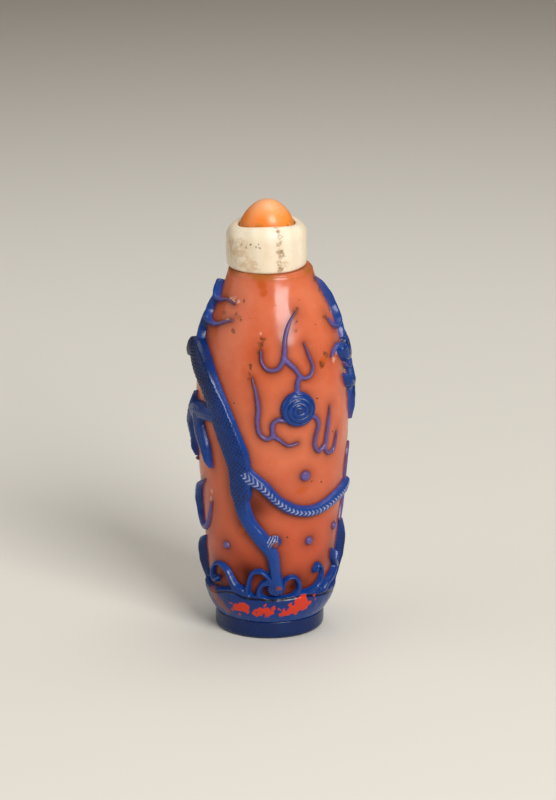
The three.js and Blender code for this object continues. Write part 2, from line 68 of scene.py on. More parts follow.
# The photograph's camera: a long lens, looking down by about seventeen degrees
cameraSetup = {
    "place": (0, -0.856916, 0.311126),
    "lens": 226.8,
    "sensor": 36,
    "down": 17.445,
    "right": 0.103,
}


def placeCamera(c):
    data = bpy.data.cameras.new("camera")
    data.lens = c["lens"]
    data.sensor_width = c["sensor"]
    camera = bpy.data.objects.new("camera", data)
    camera.location = c["place"]
    camera.rotation_euler = (math.radians(90 - c["down"]), 0, math.radians(-c["right"]))
    bpy.context.collection.objects.link(camera)
    bpy.context.scene.camera = camera


placeCamera(cameraSetup)
bpy.context.scene.view_settings.view_transform = "Standard"
print("camera placed")


# The body's outline: heights with radii, then stations as shares of the way between two of them
body = {
    "lip": (bottleHeight, 7.3),
    "shoulder": (54.4, 12),
    "belly": (42, 13.62),
    "waist": (16.4, 11.8),
    "ankle": (3.3, 9.3),
    "stations": [
        ("ankle", "waist", 0, 0), ("ankle", "waist", 0.36, 0.56),
        ("waist", "belly", 0, 0), ("waist", "belly", 0.3, 0.38), ("waist", "belly", 0.65, 0.85),
        ("belly", "shoulder", 0, 0), ("belly", "shoulder", 0.48, 0.23),
        ("shoulder", "lip", 0, 0), ("shoulder", "lip", 0.44, 0.41), ("shoulder", "lip", 0.78, 0.82),
        ("shoulder", "lip", 1, 1),
    ],
    "bow": 0.5,  # the body leans out to the right at half height
    "neckLean": 0.25,
    "wall": 2.2,
    "mouth": 3.5,
    "neck": 5.5,
    "floor": 4.3,
    "lipRounding": 0.5,
    "mouthRounding": 0.25,
    "lumps": 0.02,
    "segments": 384,
    "outerRows": 225,
    # how far the painted shade on the pink reaches beside the blue overlay, near and wide
    "blueEdgeShadeReach": (0.3, 1.4),
}


def between(a, b, share):
    return a + (b - a) * share


def groove(distance, width):  # one in the middle of a groove, nought beside it
    return np.exp(-(distance / width) ** 2)


def halfTurn(angle):  # the same angle within half a turn of nought
    return (angle + math.pi) % fullTurn - math.pi


def station(low, high, heightShare, radiusShare):
    (lowZ, lowR), (highZ, highR) = body[low], body[high]
    return between(lowZ, highZ, heightShare), between(lowR, highR, radiusShare)


def smoothThrough(stations):  # a monotone cubic through (height, radius) stations
    h, r = np.array(stations).T
    run = np.diff(h)
    rise = np.diff(r) / run
    slope = np.empty(len(h))
    slope[0], slope[-1] = rise[0], rise[-1]
    product = rise[:-1] * rise[1:]
    total = np.where(product > 0, rise[:-1] + rise[1:], 1)
    slope[1:-1] = np.where(product > 0, 2 * product / total, 0)

    def radiusAt(z):
        z = np.asarray(z, float)
        i = np.clip(np.searchsorted(h, z) - 1, 0, len(run) - 1)
        t = np.clip((z - h[i]) / run[i], 0, 1)
        leaving = slope[i] * t * (1 - t) ** 2
        arriving = slope[i + 1] * t * t * (t - 1)
        return between(r[i], r[i + 1], t * t * (3 - 2 * t)) + run[i] * (leaving + arriving)

    return radiusAt


groundRadius = smoothThrough([station(*s) for s in body["stations"]])


def bow(z):
    share = np.asarray(z) / bottleHeight
    return body["bow"] * np.sin(math.pi * share) + body["neckLean"] * share ** 4


def ringPoint(theta, reach, z, x):  # in metres, round an upright axis that stands at x
    return np.stack([x + reach * np.sin(theta), -reach * np.cos(theta), z + 0 * theta], -1) * mm


def onGround(theta, z, lift):  # a point over the pink ground, lifted along its normal
    step = 0.2
    lean = np.arctan((groundRadius(z + step) - groundRadius(z - step)) / (2 * step))
    return ringPoint(theta, groundRadius(z) + lift * np.cos(lean), z - lift * np.sin(lean), bow(z))


# The grid that the carving is worked on: columns round the bottle, rows up its side
grid = {"cell": 0.125, "low": 3.3, "high": bottleHeight - 0.7, "lineStep": 0.22, "outside": -4.0}


def makeGrid(g):
    g["zTable"] = np.arange(g["low"], g["high"], 0.01)
    climb = np.hypot(np.diff(g["zTable"]), np.diff(groundRadius(g["zTable"])))
    g["walkTable"] = np.concatenate([[0], np.cumsum(climb)])
    g["walk"] = np.arange(int(g["walkTable"][-1] / g["cell"]) + 1) * g["cell"]
    g["z"] = np.interp(g["walk"], g["walkTable"], g["zTable"])
    columns = int(fullTurn * body["belly"][1] / g["cell"])
    g["theta"] = (np.arange(columns) / columns - 0.5) * fullTurn


makeGrid(grid)
shape = (len(grid["z"]), len(grid["theta"]))
print("carving grid", shape)


def walkAt(z):  # the way up the side to a height
    return np.interp(z, grid["zTable"], grid["walkTable"])


def blurred(noise, size):  # smooths a grid of noise over a distance in millimetres
    fy = np.fft.fftfreq(shape[0], grid["cell"])[:, None]
    fx = np.fft.rfftfreq(shape[1], grid["cell"])[None, :]
    keep = np.exp(-2 * (math.pi * size) ** 2 * (fx * fx + fy * fy))
    soft = np.fft.irfft2(np.fft.rfft2(noise) * keep, s=shape)
    return soft / soft.std()


handWobble = blurred(rng.standard_normal(shape), 0.9)
toolMarks = blurred(rng.standard_normal(shape), 0.28)


def softLine(path):  # the same centripetal curve as the solids', walked evenly
    flat = np.array([(math.radians(a) * body["belly"][1], z) for a, z in path], float)
    ends = np.vstack([2 * flat[0] - flat[1], flat, 2 * flat[-1] - flat[-2]])
    t = np.linspace(0, 1, 24, endpoint=False)[:, None]
    points = []
    for i in range(len(flat) - 1):
        a, b, c, d = ends[i:i + 4]
        ab, bc, cd = (max(np.hypot(*(q - p)), 1e-6) ** 0.5 for p, q in ((a, b), (b, c), (c, d)))
        out = ((b - a) / ab - (c - a) / (ab + bc) + (c - b) / bc) * bc
        into = ((c - b) / bc - (d - b) / (bc + cd) + (d - c) / cd) * bc
        points.append(b + out * t + (3 * (c - b) - 2 * out - into) * t ** 2
                      + (2 * (b - c) + out + into) * t ** 3)
    points = np.vstack(points + [flat[-1:]])
    far = np.concatenate([[0], np.cumsum(np.hypot(*np.diff(points, axis=0).T))])
    steps = np.linspace(0, far[-1], max(3, int(far[-1] / grid["lineStep"])))
    x = np.interp(steps, far, points[:, 0]) / body["belly"][1]
    return x, np.interp(steps, far, points[:, 1]), steps


def emptyField():
    field = {name: np.zeros(shape) for name in ("relief", "half", "along", "across")}
    return field | {"depth": np.full(shape, grid["outside"])}


def readAlong(share, values):  # evenly spaced values, read at a share of the way
    values = np.atleast_1d(values).astype(float)
    return np.interp(share, np.linspace(0, 1, len(values)), values)


# Depth inside one stroke's outline, and where along it each cell lies
def strokeField(path, half, relief, margin=2.2):
    theta, z, along = softLine(path)
    walk = walkAt(z)
    share = along / along[-1]
    half = readAlong(share, half)
    relief = readAlong(share, relief) * np.clip(0.36 + half, 0, 1)  # narrow ends are lower too
    field = emptyField()
    cellTurn = fullTurn / shape[1]
    for i in range(len(theta) - 1):
        reach = max(half[i], half[i + 1]) + margin
        radius = float(groundRadius((z[i] + z[i + 1]) / 2))
        low = max(0, int((min(walk[i:i + 2]) - reach) / grid["cell"]))
        high = min(shape[0], int((max(walk[i:i + 2]) + reach) / grid["cell"]) + 2)
        first = int((min(theta[i:i + 2]) - reach / radius + math.pi) / cellTurn)
        last = int((max(theta[i:i + 2]) + reach / radius + math.pi) / cellTurn) + 2
        columns = np.arange(first, last)
        x = ((columns * cellTurn - math.pi) - theta[i])[None, :] * radius
        y = (grid["walk"][low:high] - walk[i])[:, None]
        dx, dy = (theta[i + 1] - theta[i]) * radius, walk[i + 1] - walk[i]
        length = math.hypot(dx, dy) or 1e-6
        t = np.clip((x * dx + y * dy) / length ** 2, 0, 1)
        found = {name: between(v[i], v[i + 1], t)
                 for name, v in (("half", half), ("relief", relief), ("along", along))}
        found["depth"] = found["half"] - np.hypot(x - t * dx, y - t * dy)
        found["across"] = (x * dy - y * dx) / length
        window = np.ix_(np.arange(low, high), columns % shape[1])
        better = found["depth"] > field["depth"][window]
        for name, value in found.items():
            field[name][window] = np.where(better, value, field[name][window])
    return field


def strokes(rows, relief=None):  # a row is a path, its half widths and at times a relief of its own
    return [strokeField(path, half, *(own or [relief])) for path, half, *own in rows]


def dotField(dot):  # depth inside a round boss
    angle, z, radius, relief = dot
    x = halfTurn(grid["theta"] - math.radians(angle))[None, :] * float(groundRadius(z))
    y = (grid["walk"] - float(walkAt(z)))[:, None]
    apart = np.hypot(x, y)
    return {"depth": np.maximum(radius - apart, grid["outside"]), "across": apart,
            "half": np.full(shape, float(radius)), "relief": np.full(shape, float(relief)),
            "along": np.arctan2(y + 0 * apart, x)}


def fuse(fields, fillet=0.35):  # joins strokes, with a small fillet where they meet
    whole = fields[0]
    for part in fields[1:]:
        blend = np.clip(0.5 + (whole["depth"] - part["depth"]) / (2 * fillet), 0, 1)
        joined = {name: between(part[name], whole[name], blend) for name in ("relief", "half", "depth")}
        for name in ("along", "across"):
            joined[name] = np.where(blend > 0.5, whole[name], part[name])
        joined["depth"] = joined["depth"] + fillet * blend * (1 - blend)
        whole = joined
    return whole


def carvedHeight(field, edge, crown):  # a steep side, a rounded shoulder and a crowned top
    depth = np.clip(field["depth"], 0, None)
    side = np.clip(depth / np.minimum(edge, field["half"] * 0.8 + 0.05), 0, 1)
    middle = np.clip(depth / np.maximum(field["half"], 0.1), 0, 1)
    return field["relief"] * (1 - (1 - side) ** 2.3) * (1 - crown * (1 - middle) ** 2)


def insideOf(field, depth, soften):  # one well inside the outline, nought near its edge
    return np.clip((field["depth"] - depth) / soften, 0, 1)


def worked(piece, whole, soften=0.3):  # the hand's wobble in the outline, and the height inside it
    whole["depth"] = whole["depth"] + handWobble * piece["wobble"]
    height = carvedHeight(whole, piece["edge"], piece["crown"])
    return height + toolMarks * piece["tooling"] * insideOf(whole, 0.1, soften)


# The meshes
def meshObject(name, vertices, faces):
    mesh = bpy.data.meshes.new(name)
    faces = np.asarray(faces)
    mesh.vertices.add(len(vertices))
    mesh.vertices.foreach_set("co", np.asarray(vertices, np.float32).ravel())
    mesh.loops.add(faces.size)
    mesh.loops.foreach_set("vertex_index", faces.astype(np.int32).ravel())
    mesh.polygons.add(len(faces))
    mesh.polygons.foreach_set("loop_start", np.arange(0, faces.size, faces.shape[1], dtype=np.int32))
    mesh.polygons.foreach_set("use_smooth", np.ones(len(faces), bool))
    mesh.update(calc_edges=True)
    mesh.validate()
    obj = bpy.data.objects.new(name, mesh)
    bpy.context.collection.objects.link(obj)
    return obj


def addAttribute(obj, name, values):
    attribute = obj.data.attributes.new(name, "FLOAT", "POINT")
    attribute.data.foreach_set("value", np.asarray(values, np.float32))


def settle(obj, material, node):  # a finished piece takes its CAD node's place
    obj.data.materials.append(material)
    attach(obj, "root")
    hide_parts(node)


def cellCorners(index):  # the four corners of each cell, in rows that close on themselves
    right = np.roll(index, -1, axis=1)
    return index[:-1], right[:-1], right[1:], index[1:]


# Grid points close to an outline are moved onto it, so that no thin slivers are cut there
outlines = {"close": 0.32, "mostShift": 0.45, "sunk": 0.3, "edge": -0.04}


def drawnToOutline(depth):
    gradY, gradX = np.gradient(depth)
    steep = np.maximum(np.hypot(gradX, gradY), 1e-3)
    close = np.abs(depth) < outlines["close"] * grid["cell"]
    most = outlines["mostShift"]
    shiftX, shiftY = (np.clip(np.where(close, -depth * g / steep ** 2, 0), -most, most)
                      for g in (gradX, gradY))
    theta = grid["theta"][None, :] + shiftX * fullTurn / shape[1]
    return theta, grid["walk"][:, None] + shiftY * grid["cell"], np.where(close, 0, depth)


def cellTriangles():  # with diagonals that alternate
    a, b, c, d = cellCorners(np.arange(shape[0] * shape[1]).reshape(shape))
    odd = (np.add.outer(np.arange(shape[0] - 1), np.arange(shape[1])) % 2).astype(bool)[..., None]
    one = np.where(odd, np.stack([a, b, d], -1), np.stack([a, b, c], -1))
    two = np.where(odd, np.stack([b, c, d], -1), np.stack([a, c, d], -1))
    return np.concatenate([one.reshape(-1, 3), two.reshape(-1, 3)])


def cutAtOutline(flat, values):  # the triangles inside the outline, with new vertices where it cuts them
    faces = cellTriangles()
    faces = faces[(flat[faces] > 0).any(axis=1)]
    whole = (flat[faces] >= 0).all(axis=1)
    extra, crossing, cut = [], {}, []

    def crossingAt(p, q):
        key = (p, q) if p < q else (q, p)
        if key not in crossing:
            share = flat[p] / (flat[p] - flat[q])
            row = [between(v[p], v[q], share) for v in values]
            if abs(values[0][p] - values[0][q]) > 3:  # the edge runs over the seam at the back
                wrapped = values[0][q] + math.copysign(fullTurn, values[0][p])
                row[0] = between(values[0][p], wrapped, share)
            row[2] = 0.0
            crossing[key] = len(flat) + len(extra)
            extra.append(row)
        return crossing[key]

    for face in faces[~whole].tolist():
        loop = []
        for p, q in zip(face, face[1:] + face[:1]):
            if flat[p] >= 0:
                loop.append(p)
            if flat[p] * flat[q] < 0:
                loop.append(crossingAt(p, q))
        cut += [(loop[0], loop[k], loop[k + 1]) for k in range(1, len(loop) - 1)]
    faces = np.concatenate([faces[whole], np.array(cut, int).reshape(-1, 3)])
    used, faces = np.unique(faces, return_inverse=True)
    return faces.reshape(-1, 3), np.hstack([np.array(values), np.array(extra).T])[:, used]


# Turning a field into a closed mesh: its outline is traced at depth nought
def outlineMesh(name, depth, height, attributes, foot):
    theta, walk, depth = drawnToOutline(depth)
    values = [v.ravel() for v in (theta, walk, height, *attributes.values())]
    faces, (theta, walk, height, *rest) = cutAtOutline(depth.ravel(), values)
    z = np.interp(walk, grid["walkTable"], grid["zTable"])
    edges = np.concatenate([faces[:, [0, 1]], faces[:, [1, 2]], faces[:, [2, 0]]])
    unique, counts = np.unique(np.sort(edges, axis=1), axis=0, return_counts=True)
    rim = {tuple(e) for e in unique[counts == 1].tolist()}
    onRim = np.zeros(len(theta), bool)
    onRim[[v for e in rim for v in e]] = True
    edge = np.where(walk < grid["cell"] * 0.6, foot, outlines["edge"])
    height = np.where(onRim, edge, height)
    count = len(theta)
    top, under = onGround(theta, z, height), onGround(theta, z, np.full(count, -outlines["sunk"]))
    walls = []
    for u, v in edges.tolist():
        if (min(u, v), max(u, v)) in rim:
            walls += [(u, u + count, v), (v, u + count, v + count)]
    obj = meshObject(name, np.concatenate([top, under]), np.concatenate(
        [faces, faces[:, ::-1] + count, np.array(walls)]))
    for key, value in zip(attributes, rest):
        addAttribute(obj, key, np.concatenate([value, value]))
    addAttribute(obj, "thickness", np.concatenate([height, height * 0]))
    return obj


def carve(name, whole, height, attributes, material, foot=outlines["edge"]):
    obj = outlineMesh(name, whole["depth"], height, {"layer": whole["relief"]} | attributes, foot)
    settle(obj, material, "bottle")
    return whole["depth"]


# The dragon's trunk, hind leg and tail. In this and the next pieces a stroke is a path of
# (degrees, height) points, its half widths along the way, and at times its relief
trunk = {
    "back": ([(108, 49.5), (120, 46.6), (132, 38.6), (147, 34), (161, 33.4), (174, 36), (192, 41.6),
        (209, 45.2), (230, 48.2), (250, 50.2), (267, 51.4)], [1.9, 2, 2.1, 2.15, 1.95],
        [1.45, 1.45, 1.45, 2.45]),
    "flank": ([(267, 51.4), (281, 52.2), (292, 51.2), (304.5, 48.3), (315.8, 44.3), (326.5, 38.7),
        (333.8, 34), (335.6, 28.6)], [1.95, 2.1, 2.05, 2.35, 2.3, 1.95], [2.45, 2.45, 1.45, 1.45, 1.45]),
    "leg": ([(335.4, 30.5), (335, 26.8), (340.8, 22.8), (352.8, 19.4), (361.4, 16.4), (364, 12.8),
        (367.5, 10.3)], [1.9, 1.55, 1.35, 1.4, 1.3, 1.15, 1.2], [1.4, 1.2, 1.15, 1.15]),
    "tail": ([(338, 32.2), (352, 30.1), (366, 26.9), (381, 25), (398, 24.7), (419, 25.9), (444.5, 27)],
        [1.55, 1.15, 1.05, 1.05, 1.1, 1.15, 1.15], 1.15),
    "knee": (2.4, 19.3, 1.2, 1.45),
    "paw": (5, 10.2, 1.6, 1.1),
    "legScales": (7, 3),
    "scalePitch": 0.82, "scaleDepth": 0.12, "hatchPitch": 0.42, "hatchReach": 1.25,
    "glintDepth": 0.06, "fillet": 0.5, "edge": 0.6, "crown": 0.3, "wobble": 0.05, "tooling": 0.014,
}


def netGrooves(field, pitch):  # crossing grooves that leave lozenge scales
    u, v = ((field["along"] + way * field["across"]) / pitch for way in (1.15, -1.15))
    return np.maximum(groove(u - np.round(u), 0.12), groove(v - np.round(v), 0.12))


def chevronGrooves(field, pitch):  # arrow-shaped grooves down the middle of a limb
    u = (field["along"] + np.abs(field["across"]) * 0.9) / pitch
    return groove(u - np.round(u), 0.15)


# the hatching is coloured pale: chalk with painted highlights
def kneeLines(knee, t):  # a patch of white hatching on the knee's upper left
    x, y = knee["across"] * np.cos(knee["along"]), knee["across"] * np.sin(knee["along"])
    hatch = np.cos((x - y * 0.5) * fullTurn / t["hatchPitch"]) > 0.35
    return hatch * (knee["across"] < t["hatchReach"]) * np.clip((y - x + 0.1) * 2, 0, 1)


def dragonTrunk(t, material):
    limbs = strokes(t[name] for name in ("back", "flank", "leg", "tail"))
    knee = dotField(t["knee"])
    whole = fuse([*limbs, knee, dotField(t["paw"])], t["fillet"])
    back, flank, leg, tail = (limb["depth"] for limb in limbs)
    onTail = tail >= np.maximum.reduce([back, flank, leg])
    onLeg = leg > np.maximum.reduce([back, flank, tail])
    end, fade = t["legScales"]
    fading = np.where(onLeg, np.clip((end - whole["along"]) / fade, 0, 1), 1)
    scales = np.where(onTail, 0, netGrooves(whole, t["scalePitch"])) * insideOf(whole, 0.25, 0.35)
    scales = scales * fading
    # pale chevrons down the tail: chalk with painted highlights
    glints = np.where(onTail, chevronGrooves(whole, t["scalePitch"]) * insideOf(whole, 0.5, 0.3), 0)
    glints = np.maximum(glints, kneeLines(knee, t))
    height = worked(t, whole) - scales * t["scaleDepth"] - glints * t["glintDepth"]
    # the scale grooves are coloured dark as well: painted shade
    return carve("blue_dragon_trunk", whole, height, {"groove": scales, "chalkAndGlints": glints}, material)


# The head looks towards the pearl from the right, with horn, beard and mane
head = {
    "skull": [
        ([(111, 50.4), (104, 51.8), (95, 52)], [2.2, 2.95, 2.65]),
        ([(93, 51.6), (84, 51), (77, 51.2), (72.5, 52.4)], [2.05, 1.45, 1.2, 1.2]),
    ],
    "jaw": ([(106, 48.4), (97, 46.4), (86, 45.6), (77, 46.2), (72, 47.8)], [1.8, 1.3, 1, 0.9, 0.4], 1.45),
    "tongue": ([(94, 48.8), (87, 48.4), (80, 48.8), (76, 49.8)], [0.6, 0.5, 0.2]),
    "brow": ([(85, 53.9), (91, 55.4), (98, 55.9), (105, 54.6)], [0.35, 0.8, 0.8, 0.4]),
    "locks": [
        ([(101, 55), (106, 57.2), (113, 58.6), (121, 58.4)], [1, 0.8, 0.55, 0.2]),
        ([(109, 57.8), (110.5, 59.8), (115, 61.4)], [0.6, 0.45, 0.2]),
        ([(109, 53.4), (116, 55.2), (124, 54.6)], [1, 0.9, 0.2]),
        ([(114, 52.2), (122, 52.2), (129, 50.2), (137, 50.6)], [1.1, 0.95, 0.6, 0.2]),
        ([(115, 50.2), (124, 49.4), (131, 46), (139, 45.4)], [1, 0.85, 0.55, 0.2]),
        ([(108, 48), (108, 44.6), (112, 41.8), (118, 40.6)], [1.3, 1, 0.6, 0.2]),
        ([(100, 46.8), (99, 43.8), (103, 41.2), (109, 39.8)], [1, 0.85, 0.5, 0.2]),
        ([(95, 45.8), (89.5, 43.6), (88, 41.2), (92, 38.4)], [1.1, 0.9, 0.6, 0.2], 1.27),
    ],
    "whisker": ([(77, 52.8), (70, 53.4), (62, 53), (56, 52.2)], [0.5, 0.35, 0.2]),
    "eye": (88.5, 53, 0.75, 1.4),
    "nostril": (73.5, 52.9, 0.4, 0.2),
    "cheek": (98, 51, 1.5, 0.2),
    "depths": {"nostril": 0.22, "socket": 0.14, "combed": 0.12, "scales": 0.06,
               "curl": 0.1, "lips": 0.08, "pupil": 0.15},
    # how dark each cut is coloured: painted shade in the carving
    "darkness": {"socket": 1, "nostril": 1, "combed": 0.7, "curl": 1, "scales": 0.6},
    "skullRelief": 1.45, "lockRelief": 1.15, "fillet": 0.2, "edge": 0.5, "crown": 0.3,
    "wobble": 0.04, "tooling": 0.015, "strandPitch": 0.52, "scalePitch": 0.85,
}


def combedLocks(locks, skull, pitch):
    combed = np.zeros(shape)
    for lock in locks:
        strands = 0.5 + 0.5 * np.cos(lock["across"] * fullTurn / pitch)
        strands = strands * insideOf(lock, 0.12, 0.2) * (lock["depth"] > skull["depth"])
        combed = np.maximum(combed, strands)
    return combed


def dragonHead(h, material):
    skull = fuse(strokes(h["skull"], h["skullRelief"]), 0.5)
    lower = strokes((h[part] for part in ("jaw", "tongue", "brow")), h["lockRelief"])
    locks = strokes(h["locks"], h["lockRelief"])
    whisker = strokes([h["whisker"]], h["lockRelief"])
    eye, nostril, cheek = (dotField(h[dot]) for dot in ("eye", "nostril", "cheek"))
    whole = fuse([skull, *lower, *locks, *whisker, eye], h["fillet"])
    cuts = {
        "socket": groove(eye["across"] - 0.85, 0.17),
        "pupil": groove(eye["across"], 0.22),
        "curl": groove(cheek["across"] - 1.25, 0.16) * (np.cos(cheek["along"] - 0.5) > -0.6),
        "nostril": groove(nostril["across"], 0.28),
        "combed": combedLocks(locks, skull, h["strandPitch"]),
        "scales": netGrooves(skull, h["scalePitch"]) * insideOf(skull, 0.7, 0.4)
        * np.clip(cheek["across"] - 1.6, 0, 1),
        "lips": np.maximum(*(groove(part["depth"] - 0.42, 0.1) for part in (skull, lower[0]))),
    }
    height = worked(h, whole) - sum(h["depths"][name] * cut for name, cut in cuts.items())
    dark = np.maximum.reduce([cuts[name] * share for name, share in h["darkness"].items()])
    return carve("blue_dragon_head", whole, np.maximum(height, 0.02), {"groove": dark}, material)


# The other three legs
legs = {
    "left": [
        ([(316, 42.2), (303, 42), (290, 41.6), (277, 40.8)], [1.45, 1.55, 1.75, 1.65]),
        ([(290, 41.4), (292, 38.6), (300, 35.6), (307, 32)], [1.65, 1.75, 1.3, 0.3]),
        ([(277, 40.8), (271, 38.4), (271.5, 35.4), (278, 32.2)], [1.65, 1.5, 1.05, 0.3],
         [1.45, 1.7, 1.15, 1.15]),
        ([(271, 40.6), (262.5, 39), (257, 36.8), (254, 34.4)], [1.55, 1.1, 0.7, 0.25]),
        ([(281, 42), (280.5, 43.4), (281, 44.4)], [0.75, 0.4, 0.2]),
    ],
    "right": [
        ([(144, 36), (137, 34.4), (131, 31.8), (125, 31.6)], [2, 1.5, 1.1, 1]),
        ([(127, 31.5), (118, 33.4), (112, 36.4)], [0.9, 0.7, 0.25]),
        ([(126, 31.3), (116, 30.9), (109.5, 32.6)], [0.9, 0.65, 0.25]),
        ([(126, 31), (120, 28.4), (117, 25.4)], [0.9, 0.65, 0.25]),
    ],
    "behind": [
        ([(184, 38.4), (196, 37), (205, 33.2), (199, 28.6)], [2.1, 1.6, 1.2, 1]),
        ([(199, 29.4), (192, 25.6), (188, 21)], [0.95, 0.7, 0.25]),
        ([(199.5, 29.2), (200, 24.6), (202, 20.2)], [0.95, 0.7, 0.25]),
        ([(200, 29.4), (208, 26.4), (214, 22.6)], [0.95, 0.7, 0.25]),
    ],
    "relief": 1.15, "leftRelief": 1.32, "fillet": 0.25, "edge": 0.5, "crown": 0.35, "wobble": 0.05,
    "tooling": 0.012, "scalePitch": 0.9, "scaleDepth": 0.05, "ridge": 0.05,
}


def dragonLegs(l, material):
    fields = strokes(l["left"], l["leftRelief"]) + strokes(l["right"] + l["behind"], l["relief"])
    whole = fuse(fields, l["fillet"])
    ridges = groove(whole["across"], 0.22) * insideOf(whole, 0.3, 0.3)
    net = netGrooves(whole, l["scalePitch"]) * insideOf(whole, 0.5, 0.4)
    height = worked(l, whole) + ridges * l["ridge"] - net * l["scaleDepth"]
    # the net's grooves are coloured darker: painted shade
    return carve("blue_dragon_legs", whole, height, {"groove": net * 0.6}, material)


# The pearl and the flames that stream from it
flames = {
    "pearl": (19.5, 44.2, 3.15, 1.3),
    "tongues": [
        ([(26, 60.8), (18, 59.2), (12.6, 56.9), (10, 53)], [0.22, 0.42, 0.48]),
        ([(10, 53.2), (14, 52.3), (18.5, 51.3), (22.5, 49.8)], [0.5, 0.45]),
        ([(22.5, 49.9), (20.2, 49), (19.3, 47)], [0.5, 0.55]),
        ([(22, 49.8), (27, 49.5), (32, 50), (34.2, 51.4), (32, 53.2), (29, 55.4)], [0.42, 0.38, 0.22]),
        ([(10, 53), (5, 51.5), (-3, 51.3), (-8, 52.6), (-9, 54.5)], [0.5, 0.42, 0.22]),
        ([(8.5, 42.3), (4, 42.4), (0.2, 41.4), (0.6, 39.4)], [0.5, 0.42]),
        ([(1.4, 39.5), (-4, 38.9), (-9, 39.7), (-11, 42), (-10.4, 44.4), (-12.4, 47.4), (-15.3, 49.8)],
         [0.42, 0.4, 0.45, 0.15]),
        ([(0, 39.6), (6, 38.6), (12, 37.6), (19, 37.9)], [0.4, 0.3]),
        ([(29, 42.7), (34, 42.2), (36.4, 40.8), (34.2, 38.8), (33.4, 37), (37, 35.8), (43.3, 36.8)],
         [0.5, 0.42, 0.42]),
        ([(43, 36.2), (44.6, 38.6), (48, 43.6)], [0.4, 0.42, 0.18]),
        ([(42, 36.4), (46.5, 35), (52, 35.2), (56.4, 38.3)], [0.4, 0.38, 0.22]),
    ],
    "spiralPitch": 0.84, "relief": 0.62, "fillet": 0.3, "edge": 0.4, "crown": 0.25, "wobble": 0.03,
    "tooling": 0, "ballTooling": 0.01, "spiralDepth": 0.16,
}


def pearlAndFlames(f, material):
    tongues = fuse(strokes(f["tongues"], f["relief"]), f["fillet"])
    ball = dotField(f["pearl"])
    radius, tall = f["pearl"][2:]
    turns = ball["across"] / f["spiralPitch"] - ball["along"] / fullTurn
    offLine = turns - np.round(turns)
    spiral = groove(offLine, 0.15) * insideOf(ball, 0.2, 0.3)
    spiral = np.maximum(spiral, groove(ball["across"], 0.3))
    # painted highlights on the upper side of the pearl's rings
    glints = groove(offLine - 0.2, 0.07) * insideOf(ball, 0.5, 0.3)
    glints = glints * np.clip(np.cos(ball["along"] - 1.6) * 2 - 0.9, 0, 1)
    whole = fuse([ball, tongues], f["fillet"])
    dome = tall * np.sqrt(np.clip(1 - (ball["across"] / (radius + 0.12)) ** 4, 0, 1))
    height = worked(f, whole)
    height = np.where(ball["depth"] > 0, np.maximum(height, dome), height) - spiral * f["spiralDepth"]
    height = height + toolMarks * f["ballTooling"] * insideOf(ball, -0.3, 0.3)
    # the spiral groove coloured dark as painted shade, with painted highlights on its rings
    tints = {"groove": spiral * 0.8, "chalkAndGlints": glints * 0.7}
    return carve("blue_pearl_and_flames", whole, np.maximum(height, 0.02), tints, material)


# Clouds and drops of spray. A drop is its degrees, height and radius
clouds = {
    "wisps": [
        ([(-94, 63.3), (-86, 62.4), (-74, 61.3), (-58, 62), (-43, 61.7)], [0.8, 0.55, 0.33, 0.17],
         [1.35, 1.35, 0.68, 0.42]),
        ([(-79, 61.4), (-83, 59.4), (-78, 57.7), (-63, 57.5), (-50, 58.4), (-41, 59)],
         [0.55, 0.6, 0.42, 0.2], [1.35, 1.35, 0.68, 0.42]),
        ([(-82, 58.2), (-84, 56.4), (-83, 54.6), (-79, 52.6)], [0.65, 0.8, 1.15], 1.35),
        ([(-67, 28.6), (-80, 26.6), (-89, 23), (-85, 19.8), (-75, 19.1), (-66, 20.8), (-58, 25)],
         [0.33, 0.8, 0.75, 0.55, 0.47, 0.22], [0.68, 1.35, 0.68, 0.68]),
        ([(78, 65.2), (87, 63.8), (93, 61.6), (96, 59.2), (90, 56.9), (80, 56.3), (72, 56.9), (66, 58.4)],
         [0.27, 0.6, 0.6, 0.65, 0.47, 0.27], [0.68, 1.35, 1.35, 0.68]),
        ([(86, 34.4), (81, 33), (78.5, 30.6), (80.5, 28), (85, 25.2), (84, 22.6), (79, 20.4)],
         [0.22, 0.37, 0.35, 0.39, 0.37]),
        ([(143, 62.6), (151, 60.6), (159, 57.6), (158, 54.6), (151, 54.8)], [0.22, 0.52, 0.37]),
        ([(159, 56.6), (168, 55.4), (176, 57), (184, 60.6)], [0.42, 0.47, 0.22]),
        ([(148, 43.4), (155, 46.6), (164, 47.4), (170, 44.8), (166, 42.4)], [0.22, 0.52, 0.37]),
        ([(203, 51), (212, 53.2), (222, 53.4), (231, 56), (240, 60.2)], [0.22, 0.52, 0.22]),
        ([(221, 53.4), (226, 56.6), (222, 59.2), (215, 58.2)], [0.42, 0.47, 0.27]),
        ([(218, 39.4), (227, 37), (236, 38.2), (243, 42)], [0.22, 0.52, 0.27]),
        ([(146, 27.4), (154, 25.4), (164, 26), (170, 28.8), (165, 31.2)], [0.22, 0.52, 0.37]),
        ([(220, 31.2), (229, 29.2), (239, 30), (247, 33.4)], [0.22, 0.52, 0.22]),
        ([(238, 30.2), (243, 27.4), (251, 26.4)], [0.42, 0.22]),
    ],
    "drops": [
        (26, 31.6, 0.95), (33.2, 18.8, 0.8), (65, 20, 0.75), (-42, 17.6, 0.75), (118, 22, 0.8),
        (146, 52.6, 0.75), (168, 22.4, 0.8), (228, 22.6, 0.8), (247, 45.4, 0.75), (-84, 31.5, 0.55),
    ],
    "relief": 0.68, "dropRelief": 0.5, "fillet": 0.1, "edge": 0.4, "crown": 0.2, "wobble": 0.04,
    "tooling": 0.01,
}


